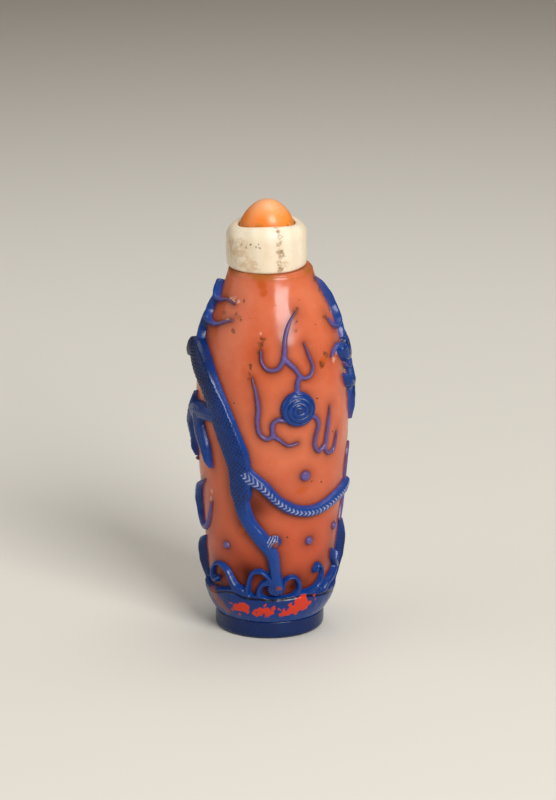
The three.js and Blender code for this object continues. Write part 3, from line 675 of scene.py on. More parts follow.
def cloudsAndDrops(c, material):
    wisps = fuse(strokes(c["wisps"], c["relief"]), 0.3)
    drops = fuse([dotField((*drop, c["dropRelief"])) for drop in c["drops"]], c["fillet"])
    whole = fuse([wisps, drops], c["fillet"])
    return carve("blue_clouds_and_drops", whole, worked(c, whole, 0.2), {}, material)


# The painted marks on the sea: three worn red blots, each as (degrees and height at its
# start, degrees and height at its end)
paint = {
    "blots": [(-35, 6, -22, 6.9), (-13, 5.6, 3, 6.9), (13, 5.7, 38, 7.5)],
    "half": [1.1, 1.45, 1.35, 0.9],
    "wear": 0.4,
}


def paintedBlots(p):
    cover = np.zeros(shape)
    for start, low, end, high in p["blots"]:
        ragged = strokeField([(start, low), (end, high)], p["half"], 0, 0.6)["depth"]
        ragged = ragged - 0.3 + toolMarks * p["wear"] + handWobble * 0.3
        cover = np.maximum(cover, np.clip(ragged / 0.12, 0, 1))
    return cover


# The sea round the base, with its wave crests
sea = {
    "crests": [
        ([(-28, 9.2), (-34, 10.1), (-38, 11.6), (-42, 12.9), (-49, 13.6), (-57, 13.3), (-63, 12),
         (-64.5, 10.5), (-60, 10), (-56, 10.6)], [1.05, 0.57, 0.42, 0.42, 0.52]),
        ([(-22, 8.6), (-20, 11.2), (-16, 13.1), (-9, 13.5), (-2, 12.4), (3, 11)], [0.6, 0.47, 0.5, 0.65]),
        ([(-8, 7.8), (-10.8, 9.4), (-8.4, 10.9), (-2, 11.5), (4, 11)], [0.7, 0.55, 0.65]),
        ([(10, 10.2), (13.4, 11.9), (19.8, 12.3), (25, 11.3), (26.4, 9.8), (23.5, 8.8)],
         [0.65, 0.47, 0.47]),
        ([(27, 8.6), (37, 8.9), (46.5, 9.6), (51, 11.2), (49.5, 13), (44.5, 13.7), (42, 12.8)],
         [0.75, 0.6, 0.47, 0.47, 0.55]),
        ([(55, 8.2), (63, 9.6), (71, 10.3), (79, 11.8), (84, 13.8)], [0.65, 0.65, 0.37]),
        ([(93, 8.6), (94, 12), (92, 15), (87.5, 18), (80, 20.4)], [0.95, 0.75, 0.55, 0.27],
         [1.1, 1.6, 1.6, 1.1]),
        ([(87, 11), (76, 12.4), (69, 13.7), (67.5, 15.2)], [0.55, 0.55, 0.37]),
        ([(-99, 8.6), (-94, 11.6), (-91, 14.2), (-86, 16.2), (-79, 17)], [0.95, 0.7, 0.3],
         [1.1, 1.6, 1.6, 1.1]),
    ],
    "backCurl": [(-9, -0.2), (-6, 2), (0, 4), (6.5, 3.7), (8.6, 1.9), (4.5, 1)],
    "backSpan": (108, 252),
    "shore": [
        (-175, 8.8), (-140, 9.1), (-110, 8.6), (-85, 8.4), (-62, 8.7), (-36, 9.7), (-20, 9), (0, 8.7),
        (33, 9.1), (56, 8.7), (85, 8.2), (112, 8.7), (150, 9),
    ],
    "lineBelow": [
        (-175, 0.5), (-85, 0.6), (-36, 0.7), (0, 0.4), (30, 0.55), (50, 0.8), (80, 1.2), (110, 0.7),
    ],
    "backHalf": [0.85, 0.57, 0.47],
    "swell": ([3.3, 4.6, 5.7, 8.2, 9.5], [0.42, 0.8, 1.0, 1.25, 1.2]),
    "top": 8.7, "backCurls": 6, "relief": 1.1, "lineDepth": 0.25, "lineHalf": 0.15, "edge": 0.5,
    "crown": 0.1, "wobble": 0.05, "tooling": 0.012,
}


def around(points, theta):  # a height that varies smoothly round the bottle
    angles = np.radians([a for a, _ in points] + [points[0][0] + 360])
    values = np.array([v for _, v in points] + [points[0][1]])
    turn = (theta - angles[0]) % fullTurn + angles[0]
    i = np.clip(np.searchsorted(angles, turn, side="right") - 1, 0, len(points) - 1)
    t = (turn - angles[i]) / (angles[i + 1] - angles[i])
    return between(values[i], values[i + 1], t * t * (3 - 2 * t))


def backCrests(s):  # curls of turning ways and two heights, where the photograph doesn't show them
    crests = []
    for i in range(s["backCurls"]):
        middle = between(*s["backSpan"], (i + 0.5) / s["backCurls"])
        way = -1.15 if i % 2 else 1.15
        tall = 1.3 if i % 3 == 1 else 1
        path = [(middle + way * a, s["top"] + z * tall) for a, z in s["backCurl"]]
        crests.append((path, s["backHalf"]))
    return crests


def seaAndWaves(s, material):
    crests = fuse(strokes(s["crests"] + backCrests(s), s["relief"]), 0.35)
    band = emptyField()
    edge = around(s["shore"], grid["theta"])
    band["depth"] = np.clip(edge[None, :] - grid["z"][:, None], -4, 4)
    band["half"][:] = 3
    band["relief"] = np.repeat(np.interp(grid["z"], *s["swell"])[:, None], shape[1], axis=1)
    whole = fuse([band, crests], 0.5)
    line = (edge - around(s["lineBelow"], grid["theta"]))[None, :] - grid["z"][:, None]
    incised = groove(line + handWobble * 0.03, s["lineHalf"])
    steadyFoot = {"wobble": s["wobble"] * np.clip(grid["z"] - 5, 0, 1)[:, None]}
    height = worked(s | steadyFoot, whole) - s["lineDepth"] * incised
    # the incised line is coloured dark: painted shade
    tints = {"groove": incised * 2.5, "layer": whole["relief"] + 0.7, "paint": paintedBlots(paint)}
    return carve("blue_sea_and_waves", whole, height, tints, material, foot=0.3)


# The pink glass: a closed shell round its hollow, turned about the axis and bowed
def turnedMesh(name, profile, segments, place):
    angles = np.arange(segments) / segments * fullTurn
    radii, heights = np.array(profile, float).T
    ring = place(angles[None, :], radii[1:-1, None], heights[1:-1, None])
    ends = place(np.zeros(2), radii[[0, -1]], heights[[0, -1]])  # these two lie on the axis
    points = np.concatenate([ring.reshape(-1, 3), ends])
    index = np.arange((len(profile) - 2) * segments).reshape(-1, segments)
    a, b, c, d = cellCorners(index)
    first, last = (np.full(segments, index.size + k) for k in (0, 1))
    low, high = index[0], index[-1]
    faces = [(a, b, c), (a, c, d), (first, np.roll(low, -1), low), (last, high, np.roll(high, -1))]
    return meshObject(name, points, np.concatenate([np.stack(f, -1).reshape(-1, 3) for f in faces]))


def rounding(radius, height, size, start, end, steps):
    turns = np.radians(np.linspace(start, end, steps + 1))
    return [(radius + size * math.cos(t), height + size * math.sin(t)) for t in turns]


def sampled(field, theta, z):  # a grid field's value at an angle and height
    row = walkAt(z) / grid["cell"]
    column = ((theta + math.pi) % fullTurn) / fullTurn * shape[1]
    r0 = np.clip(row.astype(int), 0, shape[0] - 2)
    c0 = column.astype(int) % shape[1]
    u, v = np.clip(row - r0, 0, 1), column - column.astype(int)
    c1 = (c0 + 1) % shape[1]
    low, high = (between(field[r, c0], field[r, c1], v) for r in (r0, r0 + 1))
    return between(low, high, u)


def bodyProfile(b):
    top, lip = b["lip"]
    r, bevel, mouth, floor = b["lipRounding"], b["mouthRounding"], b["mouth"], b["floor"]
    neckBottom = top - b["neck"]
    points = [(0, 3.0), (4, 3.0), (8.4, 3.0), (9.1, 3.15)]
    points += [(float(groundRadius(z)), z) for z in np.linspace(3.4, top - r, 215)]
    points += rounding(lip - r, top - r, r, 15, 90, 6) + [(lip - 1.2, top), (mouth + 1, top)]
    points += rounding(mouth + bevel, top - bevel, bevel, 90, 180, 3)
    points += [(mouth, z) for z in np.linspace(top - 0.8, neckBottom, 5)]
    hollow = np.linspace(neckBottom - b["neck"] * 0.9, floor + 2, 30)
    points += [(float(groundRadius(z)) - b["wall"], z) for z in hollow]
    low = points[-1][0]
    return points + [(low * 0.87, floor + 0.5), (low * 0.6, floor), (0, floor)]


# Where the pink glass is darker, partly deeper-coloured glass and partly painted shade: up to a height
# round the bottle, more so beside the blue, and in puffs given as (degrees, height, size, strength)
smokeAndShade = {
    "top": [
        (-180, 14), (-100, 14), (-60, 17), (-35, 20), (-15, 21), (5, 19), (20, 16.5), (50, 15.5),
        (80, 18), (110, 14),
    ],
    "puffs": [
        (-13, 26, 2.8, 0.75), (-18, 22.5, 2.6, 0.65), (-20, 12.5, 4.2, 0.95), (-34, 10.5, 3.4, 0.9),
        (-50, 11.5, 2.2, 0.95), (-6, 9.8, 2, 1), (-2, 14.5, 2, 0.7), (20, 10.4, 1.8, 1),
        (9, 11.5, 2.8, 0.75), (34, 10.5, 2.2, 0.7), (72, 14, 3.4, 0.85), (84, 21, 2, 0.7),
        (-85, 60, 2, 0.7), (-80, 54, 2.2, 0.8), (-50, 46, 1.6, 0.5), (86, 44, 2, 0.7),
    ],
    "from": 8.2,
}


# the pink darkened low round the bottle and in puffs: deeper-coloured glass and painted shade
def smokeAndShadeAt(s, theta, z, depth):
    top = around(s["top"], theta)
    low = np.clip((top - z) / (top - s["from"]), 0, 1) ** 1.1
    total = low * (0.75 + 0.25 * np.exp(np.minimum(depth, 0) / 1.6))
    for angle, height, size, strength in s["puffs"]:
        apart = np.hypot(halfTurn(theta - math.radians(angle)) * groundRadius(height), z - height)
        total = np.maximum(total, strength * groove(apart, size))
    return total * np.clip(1 + 0.12 * sampled(handWobble, theta, z), 0, 1.2)


def pinkBody(b, blueDepth, material):
    profile = bodyProfile(b)
    outerR = b["mouth"] + 2
    outer = np.array([3.4 <= z <= b["lip"][0] and r > outerR and i < b["outerRows"]
                      for i, (r, z) in enumerate(profile)])[1:-1, None]

    def place(theta, r, z):
        theta = np.where(r > 0, theta, 0)
        lumps = b["lumps"] * (sampled(handWobble, theta + 0 * r, z + 0 * theta) - 1)
        return ringPoint(theta, r + np.where(r > outerR, lumps, 0), z, bow(z))

    obj = turnedMesh("pink_glass_body", profile, b["segments"], place)
    angles = np.arange(b["segments"]) / b["segments"] * fullTurn
    theta, z = np.meshgrid(angles, [p[1] for p in profile][1:-1])
    depth = sampled(blueDepth, theta, z)
    # painted shade on the pink beside the blue overlay, in a near and a wide reach
    near, wide = (np.exp(np.minimum(depth, 0) / reach) for reach in b["blueEdgeShadeReach"])
    shading = {"blueEdgeShade": between(near, wide, 0.6), "smokeAndShade": smokeAndShadeAt(smokeAndShade, theta, z, depth)}
    for name, values in shading.items():
        addAttribute(obj, name, np.concatenate([(values * outer).ravel(), [0, 0]]))
    settle(obj, material, "bottle")


# The foot, with its recessed underside
foot = {
    "radius": 9.75,
    "rounding": 0.8,
    "recess": (7.2, 1.1),
    "taper": 0.5,
    "groove": 3.3,
    "grooveEdge": 0.22,
    "layer": 2,
    "segments": 240,
}


def blueFoot(f, material):
    recess, deep = f["recess"]
    r, edge, top = f["rounding"], f["grooveEdge"], f["groove"]
    profile = [(0, deep), (recess * 0.5, deep), (recess - f["taper"], deep)]
    profile += [(recess, 0.06), (recess + 0.1, 0)]
    profile += rounding(f["radius"] - r, r, r, -90, 0, 8)
    profile += [(f["radius"], z) for z in np.linspace(1.1, top - 0.35, 8)]
    profile += rounding(f["radius"] - edge, top - 0.3, edge, 0, 80, 4)
    profile += [(9.35, top + 0.02), (9.0, top + 0.2), (0, top + 0.2)]

    def place(theta, radius, z):
        uneven = 0.025 * np.sin(theta * 5 + z * 1.3) * np.sin(theta * 2 + 1)
        reach = radius * (1 - np.abs(uneven) * np.where(radius > 9, 0.12, 0))
        return ringPoint(theta, reach, z, bow(z))

    obj = turnedMesh("blue_foot", profile, f["segments"], place)
    for name in ("thickness", "layer"):
        addAttribute(obj, name, np.full(len(obj.data.vertices), f["layer"]))
    settle(obj, material, "bottle")


# The stopper's bone collar
collar = {
    "radius": 7.24,
    "tall": 7.9,
    "bulge": 0.15,
    "footRounding": 0.7,
    "topDrop": 2.5,
    "slant": 1.6,
    "saddle": 0.35,
    "bevel": 0.25,
    "seat": (5.02, 2.4),
    "plug": (2.5, 3.6, 0.4),
    "capRadius": 4.9,
    "flats": (0.05, 0.03),
    "segments": 200,
}


def stopperPlace(theta, r, z):  # the stopper's top is cut out of level, and dips at its sides
    x, y = r * np.sin(theta), -r * np.cos(theta)
    saddle = collar["saddle"] * (y * y - x * x) / np.maximum(r * r, collar["capRadius"] ** 2)
    deep = collar["seat"][1]
    aboveSeat = np.maximum(0, z - collar["tall"] + deep) / deep
    slope = math.tan(math.radians(collar["slant"])) * np.maximum(z, 0) / collar["tall"]
    return ringPoint(theta, r, z + x * slope + saddle * aboveSeat + bottleHeight, stopperShift)


def boneCollar(c, material):
    seat, deep = c["seat"]
    plug, reach, chamfer = c["plug"]
    tall, radius, footR = c["tall"], c["radius"], c["footRounding"]
    drop, bevel = c["topDrop"], c["bevel"]
    base, rim = radius - c["bulge"] - footR, seat + bevel
    profile = [(0, -reach), (plug - chamfer, -reach), (plug, chamfer - reach), (plug, -0.3), (plug, 0)]
    profile += [(4.2, 0), (base - 0.6, 0)] + rounding(base, footR, footR, -90, 0, 7)
    swell = [math.sin(math.pi * s / 2) for s in np.linspace(0.1, 1, 8)]
    profile += [(base + footR + c["bulge"] * s, between(footR, tall * 0.42, i / 8 + 0.12))
                for i, s in enumerate(swell)]
    profile += [(radius, z) for z in np.linspace(tall * 0.47, tall - drop - 0.1, 10)]
    profile += [(between(rim, radius, out), tall - drop * (1 - up))
                for out, up in rounding(0, 0, 1, 0, 90, 18)]
    profile += rounding(rim, tall - bevel, bevel, 100, 180, 4)
    profile += [(seat, z) for z in np.linspace(tall - bevel - 0.2, tall - deep + 0.1, 5)]
    profile += [(seat - 0.1, tall - deep), (seat * 0.5, tall - deep), (0, tall - deep)]

    def place(theta, r, z):  # filed by hand: faint flats, never proud of the solid
        wide, narrow = c["flats"]
        flats = wide * (np.cos(theta * 9 + z * 0.4) - 1) + narrow * (np.sin(theta * 4 + z) - 1)
        return stopperPlace(theta, r + flats * np.clip((r - 6.2) / 0.6, 0, 1), z)

    obj = turnedMesh("bone_collar", profile, c["segments"], place)
    settle(obj, material, "stopper_collar")


# The orange cap, resting in the collar's seat
cap = {"radius": 4.89, "drop": 1, "flat": 3, "segments": 160}


def orangeCap(c, material):
    centre = collar["tall"] - c["drop"]
    floor = collar["tall"] - collar["seat"][1]
    lowest = math.degrees(math.asin((floor - centre) / c["radius"]))
    profile = [(0, floor), (c["flat"], floor)] + rounding(0, centre, c["radius"], lowest, 89, 40)
    profile += [(0, centre + c["radius"])]
    obj = turnedMesh("orange_cap", profile, c["segments"], stopperPlace)
    settle(obj, material, "stopper_cap")


# Materials, each worked up from its shader by adding nodes
class Finish:
    def __init__(self, name):
        self.material = bpy.data.materials.new(name)
        self.material.use_nodes = True
        self.tree = self.material.node_tree
        self.inputs = self.tree.nodes["Principled BSDF"].inputs
        self.place = self.add("TexCoord", "Object", {})

    def feed(self, socket, value):  # a socket takes a fixed value or another node's output
        if isinstance(value, bpy.types.NodeSocket):
            self.tree.links.new(value, socket)
        elif socket.type == "RGBA":
            socket.default_value = (*value, 1)
        else:
            socket.default_value = value

    def add(self, kind, output, values, **settings):
        node = self.tree.nodes.new("ShaderNode" + kind)
        for key, value in settings.items():
            setattr(node, key, value)
        for key, value in values.items():
            self.feed(node.inputs[key], value)
        return node.outputs[output]

    def noise(self, scale, detail=4, roughness=0.55, distortion=0.0):
        return self.add("TexNoise", "Fac", {"Vector": self.place, "Scale": scale, "Detail": detail,
                                            "Roughness": roughness, "Distortion": distortion})

    def attribute(self, name):
        return self.add("Attribute", "Fac", {}, attribute_name=name)

    def spread(self, value, low, high, toLow=0.0, toHigh=1.0, smooth="LINEAR"):
        ends = {"From Min": low, "From Max": high, "To Min": toLow, "To Max": toHigh}
        return self.add("MapRange", "Result", ends | {"Value": value}, interpolation_type=smooth)

    def combine(self, operation, a, b):
        return self.add("Math", 0, {0: a, 1: b}, operation=operation)

    def times(self, a, b):
        return self.combine("MULTIPLY", a, b)

    def mixed(self, share, low, high):
        return self.add("Mix", "Result", {"Factor": share, "A": low, "B": high}, data_type="RGBA")

    def vector(self, operation, output, values):
        return self.add("VectorMath", output, values, operation=operation)

    def height(self, low, high):  # nought at one height in millimetres, one at the other
        z = self.add("SeparateXYZ", "Z", {0: self.place})
        return self.spread(z, low * mm, high * mm)

    def spots(self, centres, ragged, stray=0.6):  # one within each spot, ragged at its edge
        noise = self.add("TexNoise", "Color", {"Vector": self.place, "Scale": ragged, "Detail": 3})
        centred = self.vector("SUBTRACT", 0, {0: noise, 1: (0.5, 0.5, 0.5)})
        shift = self.vector("SCALE", 0, {0: centred, "Scale": stray * mm})
        moved = self.vector("ADD", 0, {0: self.place, 1: shift})
        total = None
        for place, size in centres:
            gap = self.vector("DISTANCE", "Value", {0: moved, 1: place})
            one = self.spread(gap, size * mm * 1.15, size * mm * 0.55)
            total = one if total is None else self.combine("MAXIMUM", total, one)
        return total

    def finished(self, colour, rough, bump, values):
        strength, distance = bump[1:]
        normal = self.add("Bump", "Normal", {"Height": self.noise(*bump[0]), "Strength": strength,
                                             "Distance": distance * mm})
        for key, value in ({"Base Color": colour, "Roughness": rough, "Normal": normal} | values).items():
            self.feed(self.inputs[key], value)
        return self.material


# Specks, stains and worn spots on the body, each as (degrees, height, size)
marks = {
    "specks": [
        (-29.6, 45.0, 0.22), (32.0, 30.3, 0.2), (41.9, 29.7, 0.24), (13.1, 20.1, 0.22),
        (45.8, 58.1, 0.16), (36.4, 45.6, 0.2), (52.0, 38.7, 0.2), (34.1, 62.6, 0.12), (60, 33, 0.15),
        (-8, 31, 0.12), (5, 62, 0.12), (150, 40, 0.2), (205, 30, 0.2), (170, 52, 0.18), (240, 25, 0.2),
    ],
    "orange": [
        (24.4, 28.9, 1), (22, 28.7, 0.8), (46.1, 51.8, 0.9), (-11.3, 65.4, 1.1), (-9, 64, 0.7),
        (88.5, 38.8, 1), (-26, 21, 0.7), (140, 25, 0.9), (215, 40, 0.8),
    ],
    "dirt": [
        (-9.2, 55.6, 0.6), (-7.5, 56.6, 0.6), (-10, 54.3, 0.5), (-17.5, 50.5, 0.5), (-16.8, 51.8, 0.5),
        (-18.5, 49.4, 0.4), (26.5, 61.0, 0.5), (23.0, 57.7, 0.5), (24.5, 59, 0.4), (-37, 60.1, 0.5),
        (-33, 59.6, 0.4), (-33, 62.4, 0.4), (62, 58.9, 0.45), (50, 52.6, 0.7), (44, 51.2, 0.7),
        (-54, 59.8, 0.6), (-38, 57.4, 0.5),
    ],
    "resin": [
        (81, 61.2, 1.1), (85, 59.4, 1.1), (78, 62.8, 0.7), (74, 64.9, 0.5), (-70, 54.6, 0.7),
        (76, 48.6, 1), (78, 44.6, 0.9),
    ],
    "pale": [
        (-46, 62.2, 0.5), (-52, 62.4, 0.4), (-39, 62.1, 0.35), (-47, 58.9, 0.4), (66, 52.4, 0.6),
        (60, 51.4, 0.6), (-10, 57.4, 0.3), (-59, 25.4, 0.5), (-57, 27, 0.4),
    ],
    "rusty": [
        (-58, 6.9, 1.6), (-52, 6, 1.4), (-62, 7.9, 1.2), (-46, 5, 1), (178, 5.5, 1.3), (3, 19, 0.7),
        (6, 10.6, 0.5),
    ],
}


def bodySpots(kind, lift=0.0):
    return [(tuple(onGround(math.radians(a), z, lift).tolist()), size) for a, z, size in marks[kind]]


pinkColours = {
    "base": (0.53, 0.1, 0.04),
    "cloudy": (0.6, 0.145, 0.062),
    "streaky": (0.64, 0.2, 0.1),
    # darker towards the bottom: deeper glass and painted shade
    "low": (0.43, 0.052, 0.014),
    # painted shade beside the blue overlay
    "shadeBesideBlue": (0.14, 0.016, 0.005),
    # near black: deeper-coloured glass and painted shade, low down and in puffs
    "smokyAndShaded": (0.05, 0.0045, 0.0013),
    "orange": (0.46, 0.075, 0.008),
    "lipResidue": (0.36, 0.1, 0.016),
    "dirt": (0.15, 0.045, 0.015),
    "resin": (0.12, 0.075, 0.025),
    "specks": (0.05, 0.015, 0.01),
    "pale": (0.72, 0.42, 0.33),
    "grains": (0.12, 0.03, 0.015),
}


def pinkGlass(c):
    f = Finish("coral pink glass")
    smokyAndShaded = f.attribute("smokeAndShade")
    blotchy = f.spread(f.noise(600, 5, 0.7), 0.4, 0.52)
    uneven = f.noise(260, 4, 0.6)
    colour = f.mixed(f.spread(f.noise(90, 3, 0.5), 0.35, 0.68), c["base"], c["cloudy"])
    layers = [
        (f.times(f.spread(f.noise(420, 5, 0.6, 0.4), 0.4, 0.7), 0.25), "streaky"),
        # darker towards the bottom: deeper glass and painted shade
        (f.times(f.height(36, 12), 0.8), "low"),
        # painted shade beside the blue overlay
        (f.times(f.attribute("blueEdgeShade"), 0.85), "shadeBesideBlue"),
        # darkened low down and in puffs: deeper-coloured glass and painted shade
        (f.times(smokyAndShaded, 0.9), "smokyAndShaded"),
        (f.times(f.spots(bodySpots("orange"), 900, 1.2), 0.8), "orange"),
        (f.times(f.height(65.6, 66.7), f.spread(uneven, 0.35, 0.55)), "lipResidue"),
        (f.times(f.spots(bodySpots("dirt"), 900, 1.8), blotchy), "dirt"),
        (f.times(f.spots(bodySpots("resin"), 900, 1.8), blotchy), "resin"),
        (f.spots(bodySpots("specks"), 1500), "specks"),
        (f.times(f.spots(bodySpots("pale"), 1100, 1.6), 0.55), "pale"),
        (f.times(f.spread(f.noise(2600, 2, 0.5), 0.735, 0.76), 0.7), "grains"),
    ]
    for share, name in layers:
        colour = f.mixed(share, colour, c[name])
    return f.finished(colour, f.spread(uneven, 0.3, 0.75, 0.14, 0.3), ((330, 3, 0.5), 0.12, 0.06), {
        "Specular IOR Level": f.spread(smokyAndShaded, 0, 1, 0.32, 0.1),
        "Subsurface Weight": 0.12, "Subsurface Radius": (1.0, 0.3, 0.15), "Subsurface Scale": 0.0012})


# The blue glass runs from plum where it is thin to near black where it is thick
blueColours = {
    "thinToThick": [
        (0, (0.09, 0.02, 0.03)), (0.14, (0.12, 0.05, 0.1)), (0.26, (0.1, 0.07, 0.23)),
        (0.38, (0.03, 0.052, 0.24)), (0.52, (0.005, 0.04, 0.21)), (0.74, (0.0015, 0.027, 0.16)),
        (1, (0.001, 0.012, 0.07)),
    ],
    # near black painted shade in the carved grooves
    "grooves": (0.001, 0.002, 0.012),
    # pale chalk and painted highlights
    "chalkAndGlints": (0.5, 0.5, 0.62),
    "rusty": (0.2, 0.04, 0.02),
    "paint": (0.56, 0.03, 0.008),
}


def byThickness(f, layers, colours):
    ramp = f.tree.nodes.new("ShaderNodeValToRGB")
    f.feed(ramp.inputs["Fac"], layers)
    stops = ramp.color_ramp.elements
    for place, _ in colours[1:-1]:
        stops.new(place)
    for stop, (_, shade) in zip(stops, colours):
        stop.color = (*shade, 1)
    return ramp.outputs["Color"]


def blueGlass(c):
    f = Finish("cobalt blue glass")
    uneven = f.times(f.noise(500, 4, 0.6), 0.6)
    layers = f.combine("ADD", f.times(f.attribute("thickness"), 0.4), f.times(f.attribute("layer"), 0.6))
    layers = f.spread(f.combine("ADD", layers, uneven), 0.3, 2.3)
    colour = byThickness(f, layers, c["thinToThick"])
    worn = f.spread(f.noise(900, 4, 0.65), 0.38, 0.55, 0.45)
    for share, name in (
            # painted shade in the carved grooves
            (f.times(f.times(f.attribute("groove"), 0.95), worn), "grooves"),
            # pale chalk and painted highlights
            (f.times(f.times(f.attribute("chalkAndGlints"), worn), 0.9), "chalkAndGlints"),
            (f.times(f.spots(bodySpots("rusty", 1.1), 700, 1.6), 0.9), "rusty"),
            (f.attribute("paint"), "paint")):
        colour = f.mixed(share, colour, c[name])
    rough = f.spread(f.noise(500, 5, 0.6), 0.3, 0.75, 0.16, 0.38)
    return f.finished(colour, rough, ((1400, 4, 0.6), 0.25, 0.09), {"Specular IOR Level": 0.3})


def onStopper(degrees, z, radius):
    return tuple(stopperPlace(np.radians(degrees), np.array(radius), np.array(z)).tolist())


def onCollar(degrees, z):  # on the barrel, and on its rounded top
    up = max(0, z - collar["tall"] + collar["topDrop"]) / collar["topDrop"]
    inside = collar["seat"][0] + collar["bevel"]
    return onStopper(degrees, z, between(inside, collar["radius"], math.sqrt(1 - up * up)))


# Marks on the bone, as (degrees, height over the lip, size)
collarMarks = {
    "tan": [
        (-48, 3.2, 2.4), (-34, 2.0, 1.8), (-62, 4.4, 1.8), (-40, 5, 1.6), (-18, 1.5, 1.2), (24, 1.4, 1.1),
        (150, 3, 2), (220, 5, 1.8),
    ],
    "stain": [
        (18, 7.88, 0.55), (19, 7.4, 0.5), (20, 6.6, 0.6), (17, 5.6, 0.6), (19, 4.2, 0.7), (21, 3.4, 0.7),
        (18, 2, 0.6), (20, 0.9, 0.7),
    ],
    "pits": [
        (-43, 5.8, 0.3), (-38, 5.2, 0.26), (-34, 5.4, 0.2), (-31, 4.9, 0.26), (-27, 5.1, 0.2),
        (-23, 5.5, 0.24), (-15, 5.1, 0.24), (-10, 4.9, 0.28), (-12, 5.6, 0.18), (130, 5.3, 0.3),
        (138, 5.6, 0.3), (200, 4.3, 0.3),
    ],
}
boneColours = {
    "base": (0.78, 0.68, 0.52),
    "grain": (0.68, 0.54, 0.36),
    "aged": (0.56, 0.38, 0.2),
    "tan": (0.5, 0.27, 0.1),
    "stain": (0.24, 0.11, 0.035),
    "pits": (0.16, 0.07, 0.025),
    "grains": (0.3, 0.18, 0.08),
}


def bone(c):
    f = Finish("aged bone")
    grain = f.add("TexWave", "Fac", {"Vector": f.place, "Scale": 120, "Distortion": 6, "Detail": 3})
    colour = f.mixed(f.times(grain, 0.35), c["base"], c["grain"])
    colour = f.mixed(f.times(f.spread(f.noise(150, 4, 0.6), 0.45, 0.75), 0.3), colour, c["aged"])
    for kind, ragged, stray, strength in (
            ("tan", 700, 2.2, 0.5), ("stain", 900, 1.3, 0.8), ("pits", 1400, 0.9, 0.9)):
        centres = [(onCollar(angle, z), size) for angle, z, size in collarMarks[kind]]
        broken = f.spread(f.noise(ragged * 1.2, 4, 0.7), 0.4, 0.55)
        share = f.times(f.times(f.spots(centres, ragged, stray), broken), strength)
        colour = f.mixed(share, colour, c[kind])
    colour = f.mixed(f.times(f.spread(f.noise(2400, 2, 0.5), 0.68, 0.74), 0.5), colour, c["grains"])
    rough = f.spread(f.noise(300, 4, 0.6), 0.3, 0.75, 0.32, 0.5)
    return f.finished(colour, rough, ((1300, 5, 0.6), 0.2, 0.08), {
        "Subsurface Weight": 0.15, "Subsurface Radius": (1.0, 0.8, 0.5), "Subsurface Scale": 0.0008})


# The cap's resin is given as (degrees, size), all round its base
capLook = {
    "base": (0.78, 0.2, 0.016),
    "cloudy": (0.82, 0.27, 0.045),
    # painted highlight on the cap's top
    "paintedTopHighlight": (0.93, 0.52, 0.27),
    "paintedTopHighlightFrom": (76.4, 78.7),
    "resin": (0.36, 0.13, 0.015),
    "resinSpots": [(55, 1), (68, 1.2), (85, 1.1), (40, 0.8), (-20, 0.6), (180, 0.8)],
    "resinHeight": 7.6,
    "resinBelow": (75.9, 74.9),
}


def orangeGlass(c):
    f = Finish("orange glass")
    cloudy = f.spread(f.noise(160, 4, 0.6, 0.6), 0.35, 0.7)
    colour = f.mixed(cloudy, c["base"], c["cloudy"])
    # the cap's top coloured paler: painted highlight
    colour = f.mixed(f.times(f.height(*c["paintedTopHighlightFrom"]), 0.55), colour, c["paintedTopHighlight"])
    crusty = f.spread(f.noise(700, 4, 0.65), 0.4, 0.58)
    centres = [(onStopper(a, c["resinHeight"], collar["capRadius"]), size) for a, size in c["resinSpots"]]
    resin = f.combine("MAXIMUM", f.spots(centres, 900, 1.4), f.times(f.height(*c["resinBelow"]), 0.8))
    colour = f.mixed(f.times(f.times(resin, crusty), 0.9), colour, c["resin"])
    rough = f.spread(f.noise(400, 3, 0.5), 0.3, 0.75, 0.28, 0.42)
    return f.finished(colour, rough, ((500, 3, 0.5), 0.08, 0.05), {
        "IOR": 1.54, "Subsurface Weight": 0.35, "Subsurface Radius": (1.0, 0.45, 0.15),
        "Subsurface Scale": 0.0025})


# Floor, backdrop and lights. A light's direction is its azimuth and its height in degrees
stage = {
    "flat": 0.95,
    "cove": 0.55,
    # the paper is coloured darker away from the middle: painted shade for the light falling off up the
    # backdrop
    "pale": (0.655, 0.623, 0.56),
    "dark": (0.205, 0.176, 0.144),
    "paleTo": 0.18,
    "darkFrom": 0.66,
    "centre": 0.0012,
    "segments": 96,
}
lights = {
    "world": (1.0, 0.97, 0.92),
    "worldStrength": 0.32,
    "target": (0, 0, 0.04),
    "key": {"direction": (30, 33), "away": 1.0, "size": (0.46, 0.5), "power": 10.5},
    "top": {"direction": (150, 72), "away": 0.9, "size": (0.6, 0.6), "power": 2.6},
    "fill": {"direction": (-80, 20), "away": 1.0, "size": (1.2, 0.9), "power": 3},
}


def paperSweep(s):
    f = Finish("paper sweep")
    away = f.vector("LENGTH", "Value", {0: f.place})
    # painted shade: darker away from the middle
    share = f.spread(away, s["paleTo"], s["darkFrom"], smooth="SMOOTHSTEP")
    f.feed(f.inputs["Base Color"], f.mixed(share, s["pale"], s["dark"]))
    f.inputs["Roughness"].default_value = 0.7
    f.inputs["Specular IOR Level"].default_value = 0.2
    return f.material


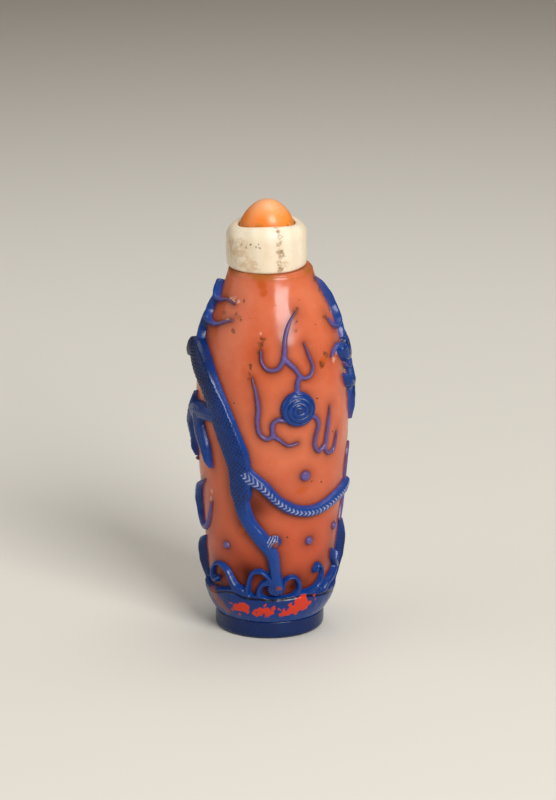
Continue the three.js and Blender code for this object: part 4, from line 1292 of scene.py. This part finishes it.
def sweep(s):
    points = [(r, 0) for r in np.linspace(0.001, s["flat"], 40)]
    points += [(s["flat"] + s["cove"] * math.sin(t), s["cove"] * (1 - math.cos(t)))
               for t in np.linspace(0.1, math.pi / 2, 14)]
    turns = s["segments"]
    angles = np.arange(turns) / turns * fullTurn
    vertices = [(r * math.cos(a), r * math.sin(a), z) for r, z in points for a in angles]
    faces = np.stack(cellCorners(np.arange(len(vertices)).reshape(-1, turns)), -1).reshape(-1, 4)
    disc = [(s["centre"] * math.cos(a), s["centre"] * math.sin(a), 0) for a in angles]
    paper = paperSweep(s)
    for obj in (meshObject("floor", vertices, faces), meshObject("floor_centre", disc, [range(turns)])):
        obj.data.materials.append(paper)


def softLight(name, light, target):
    azimuth, rise = (math.radians(v) for v in light["direction"])
    data = bpy.data.lights.new(name, "AREA")
    data.shape = "RECTANGLE"
    data.size, data.size_y = light["size"]
    data.energy = light["power"]
    lamp = bpy.data.objects.new(name, data)
    level = math.cos(rise)
    way = Vector((math.sin(azimuth) * level, -math.cos(azimuth) * level, math.sin(rise)))
    lamp.location = Vector(target) + way * light["away"]
    lamp.rotation_euler = way.to_track_quat("Z", "Y").to_euler()
    bpy.context.collection.objects.link(lamp)


def lightUp(l):
    world = bpy.data.worlds.new("studio")
    bpy.context.scene.world = world
    world.use_nodes = True
    background = world.node_tree.nodes["Background"]
    background.inputs["Color"].default_value = (*l["world"], 1)
    background.inputs["Strength"].default_value = l["worldStrength"]
    for name in ("key", "top", "fill"):
        softLight(name, l[name], l["target"])


# Putting it all together
pink, blue = pinkGlass(pinkColours), blueGlass(blueColours)
depths = [
    dragonTrunk(trunk, blue),
    dragonHead(head, blue),
    dragonLegs(legs, blue),
    pearlAndFlames(flames, blue),
    cloudsAndDrops(clouds, blue),
    seaAndWaves(sea, blue),
]
print("blue carving made")
pinkBody(body, np.maximum.reduce(depths), pink)
blueFoot(foot, blue)
print("body and foot made")
boneCollar(collar, bone(boneColours))
orangeCap(cap, orangeGlass(capLook))
print("stopper made")
sweep(stage)
lightUp(lights)

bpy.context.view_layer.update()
for obj in bpy.data.objects:
    if obj.type == "MESH" and not obj.hide_render:
        print(obj.name, len(obj.data.polygons))
